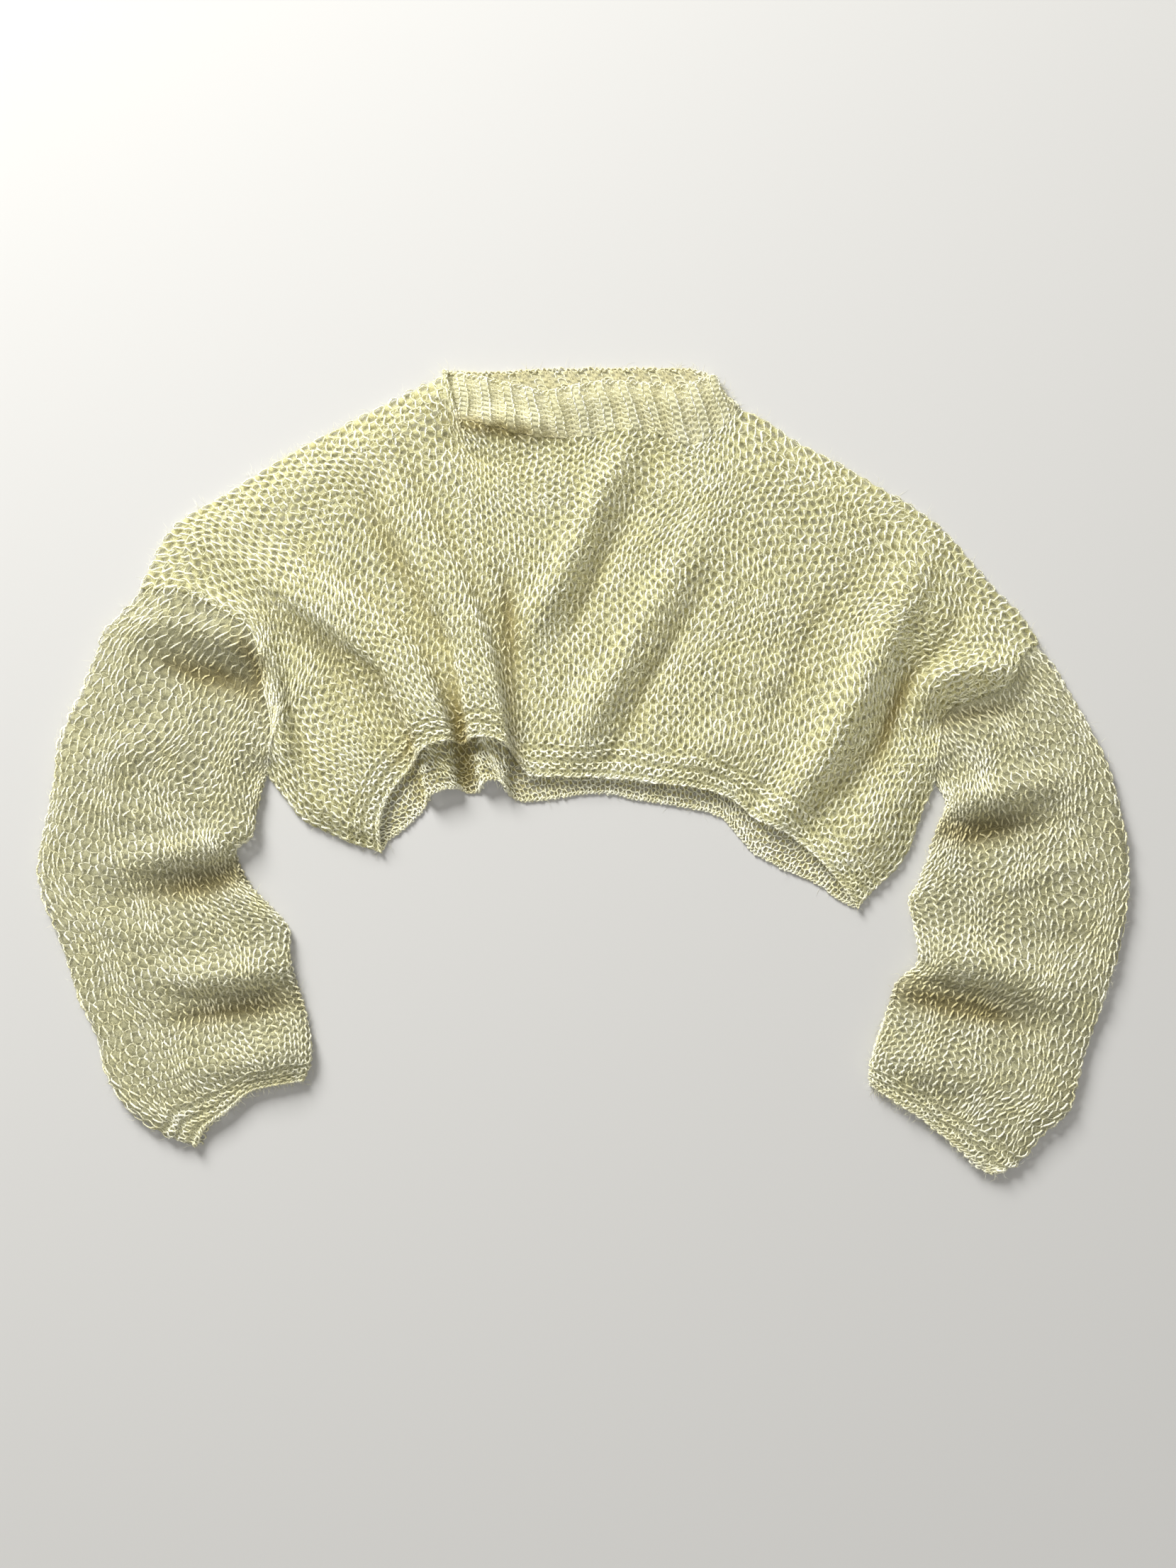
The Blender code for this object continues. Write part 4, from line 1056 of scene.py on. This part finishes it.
def sleeve(armhole, outer, inner, cuff, way):
    """Middle of a sleeve's wall, round by round from armhole to cuff."""
    down = np.linspace(0.0, 1.0, SPANS_PER_ROUND * SLEEVE_ROUNDS + 1)
    shares = np.linspace(0.0, 1.0, ARMHOLE_POINTS + 1)
    start = moved_line(smooth_line(armhole, shares), way * SEAM_GAP)
    run = length_along(start)
    tuck = (WALL / 2 + SEAM_GAP) / run[-1]
    ends = at(np.array([tuck, 1.0 - tuck]) * run[-1], run, start)
    start[0], start[-1] = ends
    plan = straight_patch(
        start, smooth_line(cuff, shares), smooth_line((tuple(ends[0]), *outer[1:]), down),
        smooth_line((tuple(ends[1]), *inner[1:]), down), shares, down,
    )
    rings = tube(plan, plan, down, 0.0)
    return rings if way < 0 else rings[:, ::-1]


def round_cloth(rings, columns, stitches, rows, border, drift=1.0, lean=0.0):
    """A tube's rings as a cloth, its columns evenly spaced and leaning by a share of the round."""
    grid = []
    for down, line in zip(np.linspace(0.0, 1.0, len(rings)), rings):
        line = np.concatenate([line, line[:1]])
        run = length_along(line)
        places = (np.arange(columns + 1) % columns / columns + lean * down) % 1.0
        grid.append(at(places * run[-1], run, line))
    return cloth_of(np.array(grid), True, stitches, rows, border, drift)


# The same haze, a little thicker, and greyer and darker as painted shade: the sleeves look darker
# than the body
sleeve_haze_in_painted_shade = haze_material(
    "mohair_haze_of_the_sleeves_in_painted_shade", "#DAD9B8", "#BAB78D", "#867D55", 0.13, 0.44
)
for name, armhole, outer, inner, cuff, way_out, seed in (
    ("sleeve_left", ARMHOLE_LEFT, SLEEVE_LEFT_OUTER, SLEEVE_LEFT_INNER, CUFF_LEFT, -1, 31),
    ("sleeve_right", ARMHOLE_RIGHT, SLEEVE_RIGHT_OUTER, SLEEVE_RIGHT_INNER, CUFF_RIGHT, 1, 41),
):
    tube_cloth = round_cloth(
        sleeve(armhole, outer, inner, cuff, way_out), SPANS_PER_STITCH * SLEEVE_STITCHES,
        SLEEVE_STITCHES, SLEEVE_ROUNDS, BORDER_ROWS,
    )
    # Painted shade all over the sleeve, so that its colour is deeper than the body's
    tube_cloth = tube_cloth._replace(deep=np.clip(tube_cloth.deep + SLEEVE_PAINTED_SHADE, 0, 1))
    sleeve_cloth, with_pieces = knit_piece(
        name, tube_cloth, garter_face(SLEEVE_ROUNDS), sleeve_haze_in_painted_shade, seed=seed, steps=12, edge="cuff",
        fibres=9000, rise=0.3, fine=1.5,
    )
    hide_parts(name)

# Neckband
#
# One ring of 1x1 rib, picked up round the neck and bound off loosely. Its front half lies over its
# back half, whose inner side shows as a strip above it.

# How the band sits: its gap from the panels, and how far its left end moves from their corner
NECK_GAP = 0.6
BAND_START = -4.0

# The knitting, with its spans to a stitch and to a round, and how far it drifts and leans
BAND_STITCHES = 48
BAND_ROUNDS = 9
BAND_STITCH_SPANS = 8
BAND_ROUND_SPANS = 4
BAND_POINTS = 96
BAND_DRIFT = 0.15
BAND_LEAN = -0.022

# The rib: how high it stands, how sharply it turns from knit to purl, how far its knit columns
# spread, how far their stitches lean and how much they differ
RIB_HEIGHT = 1.3
RIB_SHARPNESS = 1.6
PURL_DEPTH = -0.3
RIB_SPREAD = 0.14
RIB_LEAN = 0.09
RIB_LOOSE = 0.4

# How much painted shade darkens the colour between the ribs, and on the strip behind the front half
FURROW_PAINTED_SHADE = 0.25
STRIP_PAINTED_SHADE = 0.3

# Outlines. Columns: x, y
BAND_TOP_FRONT = (
    (-108, 309), (-75, 302), (-47, 296), (-31, 292), (-10, 296), (18, 300), (53, 298),
    (74, 296), (88, 300), (101, 306),
)
BAND_TOP_BACK = (
    (-108, 309), (-80, 308), (-38, 310), (26, 311), (66, 311), (88, 310), (101, 306),
)


def neckband():
    """Middle of the neckband's wall, from its top edge to its seam."""
    shares = np.linspace(0.0, 1.0, BAND_POINTS + 1)
    down = np.linspace(0.0, 1.0, BAND_ROUND_SPANS * BAND_ROUNDS + 1)
    v = down[:, None, None]
    layers = []
    for neck, top in ((NECK_FRONT, BAND_TOP_FRONT), (NECK_BACK, BAND_TOP_BACK)):
        seam = moved_line(smooth_line(neck, shares), NECK_GAP)
        seam[0, 0] += BAND_START
        run = length_along(seam)
        seam = at(shares * run[-1], run, seam)
        layers.append((1 - v) * smooth_line(top, shares) + v * seam)
    return tube(*layers, down, 1.0)


def rib_relief(x):
    """Height of the neckband's ribs: knit columns stand out, purl columns sink in."""
    return RIB_HEIGHT * np.cos(math.pi * (x - 0.5))


def band_face(x, row):
    """1x1 rib: knit columns, spread a little, and purl columns by turns."""
    knit = np.clip(RIB_SHARPNESS * np.cos(math.pi * (x - 0.5)), PURL_DEPTH, 1.0)
    return knit, rib_relief(x), -RIB_SPREAD * np.cos(math.pi * x)


band = round_cloth(
    neckband(), BAND_STITCH_SPANS * BAND_STITCHES, BAND_STITCHES, BAND_ROUNDS, 0,
    BAND_DRIFT, BAND_LEAN,
)
# Painted shade in the furrows between the ribs and on the lower layer, the strip behind the front
# half
places = np.linspace(0, BAND_STITCHES, band.grid.shape[1])
painted_furrow_shade = 0.5 - 0.5 * np.cos(math.pi * (places - 0.5))
behind = band.grid[..., 2:] < FLOOR_LAYER + WALL / 2
deep = band.deep + FURROW_PAINTED_SHADE * painted_furrow_shade[None, :, None] + STRIP_PAINTED_SHADE * behind
band = band._replace(deep=np.clip(deep, 0, 1))

# The same haze, thick and pale, because the rib draws its strands close together
band_haze = haze_material("mohair_haze_of_the_rib", "#FAF9DA", "#ECE9BE", "#BBB07C", 0.20, 0.6)
band_cloth, band_pieces = knit_piece(
    "neckband", band, band_face, band_haze, seed=51, steps=14, edge="edge",
    fibres=4500, rise=0.2, fine=4, v=0.0, lean=RIB_LEAN, uneven=RIB_LOOSE, relief=rib_relief,
)
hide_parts("neckband")

# Studio
#
# A plain pale floor, one broad soft light that comes low from the upper left of the picture, a weak
# fill from above, and the camera straight above the sweater. Sizes here are in metres.

FLOOR_SIZE = 8.0
VIEW_WIDTH = 0.9124
VIEW_CENTRE = (0.00385, -0.011)
CAMERA_HEIGHT = 1.6
CLOTH_HEIGHT = 0.008

floor_mesh = bpy.data.meshes.new("floor")
ground = bmesh.new()
bmesh.ops.create_grid(ground, x_segments=1, y_segments=1, size=FLOOR_SIZE / 2)
ground.to_mesh(floor_mesh)
ground.free()

# Matt painted board: even and pale, so that the sweater's own shadows show
floor_stuff, shader, _, _ = new_material("pale_matt_board")
shader.inputs["Base Color"].default_value = linear("#C8C8CA")
shader.inputs["Roughness"].default_value = 0.8
floor_mesh.materials.append(floor_stuff)
floor = bpy.data.objects.new("floor", floor_mesh)
bpy.context.scene.collection.objects.link(floor)


def add_light(name, place, size, power, colour):
    """A square soft light that points at the middle of the sweater."""
    lamp = bpy.data.lights.new(name, "AREA")
    lamp.size = size
    lamp.energy = power
    lamp.color = linear(colour)[:3]
    item = bpy.data.objects.new(name, lamp)
    item.location = place
    aim = -item.location
    item.rotation_euler = aim.to_track_quat("-Z", "Y").to_euler()
    bpy.context.scene.collection.objects.link(item)


add_light("window_light", (-1.6, 2.7, 1.75), 1.4, 225.0, "#FFFEF8")
add_light("fill_light", (0.6, -1.2, 2.6), 2.5, 14.0, "#F8F9FF")

world = bpy.data.worlds.new("studio")
world.use_nodes = True
world.node_tree.nodes["Background"].inputs["Color"].default_value = linear("#EFEBDC")
world.node_tree.nodes["Background"].inputs["Strength"].default_value = 0.38
bpy.context.scene.world = world
bpy.context.scene.view_settings.view_transform = "Standard"

lens = bpy.data.cameras.new("camera")
lens.sensor_fit = "HORIZONTAL"
lens.sensor_width = 36.0
lens.lens = lens.sensor_width * (CAMERA_HEIGHT - CLOTH_HEIGHT) / VIEW_WIDTH
camera = bpy.data.objects.new("camera", lens)
camera.location = (*VIEW_CENTRE, CAMERA_HEIGHT)
bpy.context.scene.collection.objects.link(camera)
bpy.context.scene.camera = camera
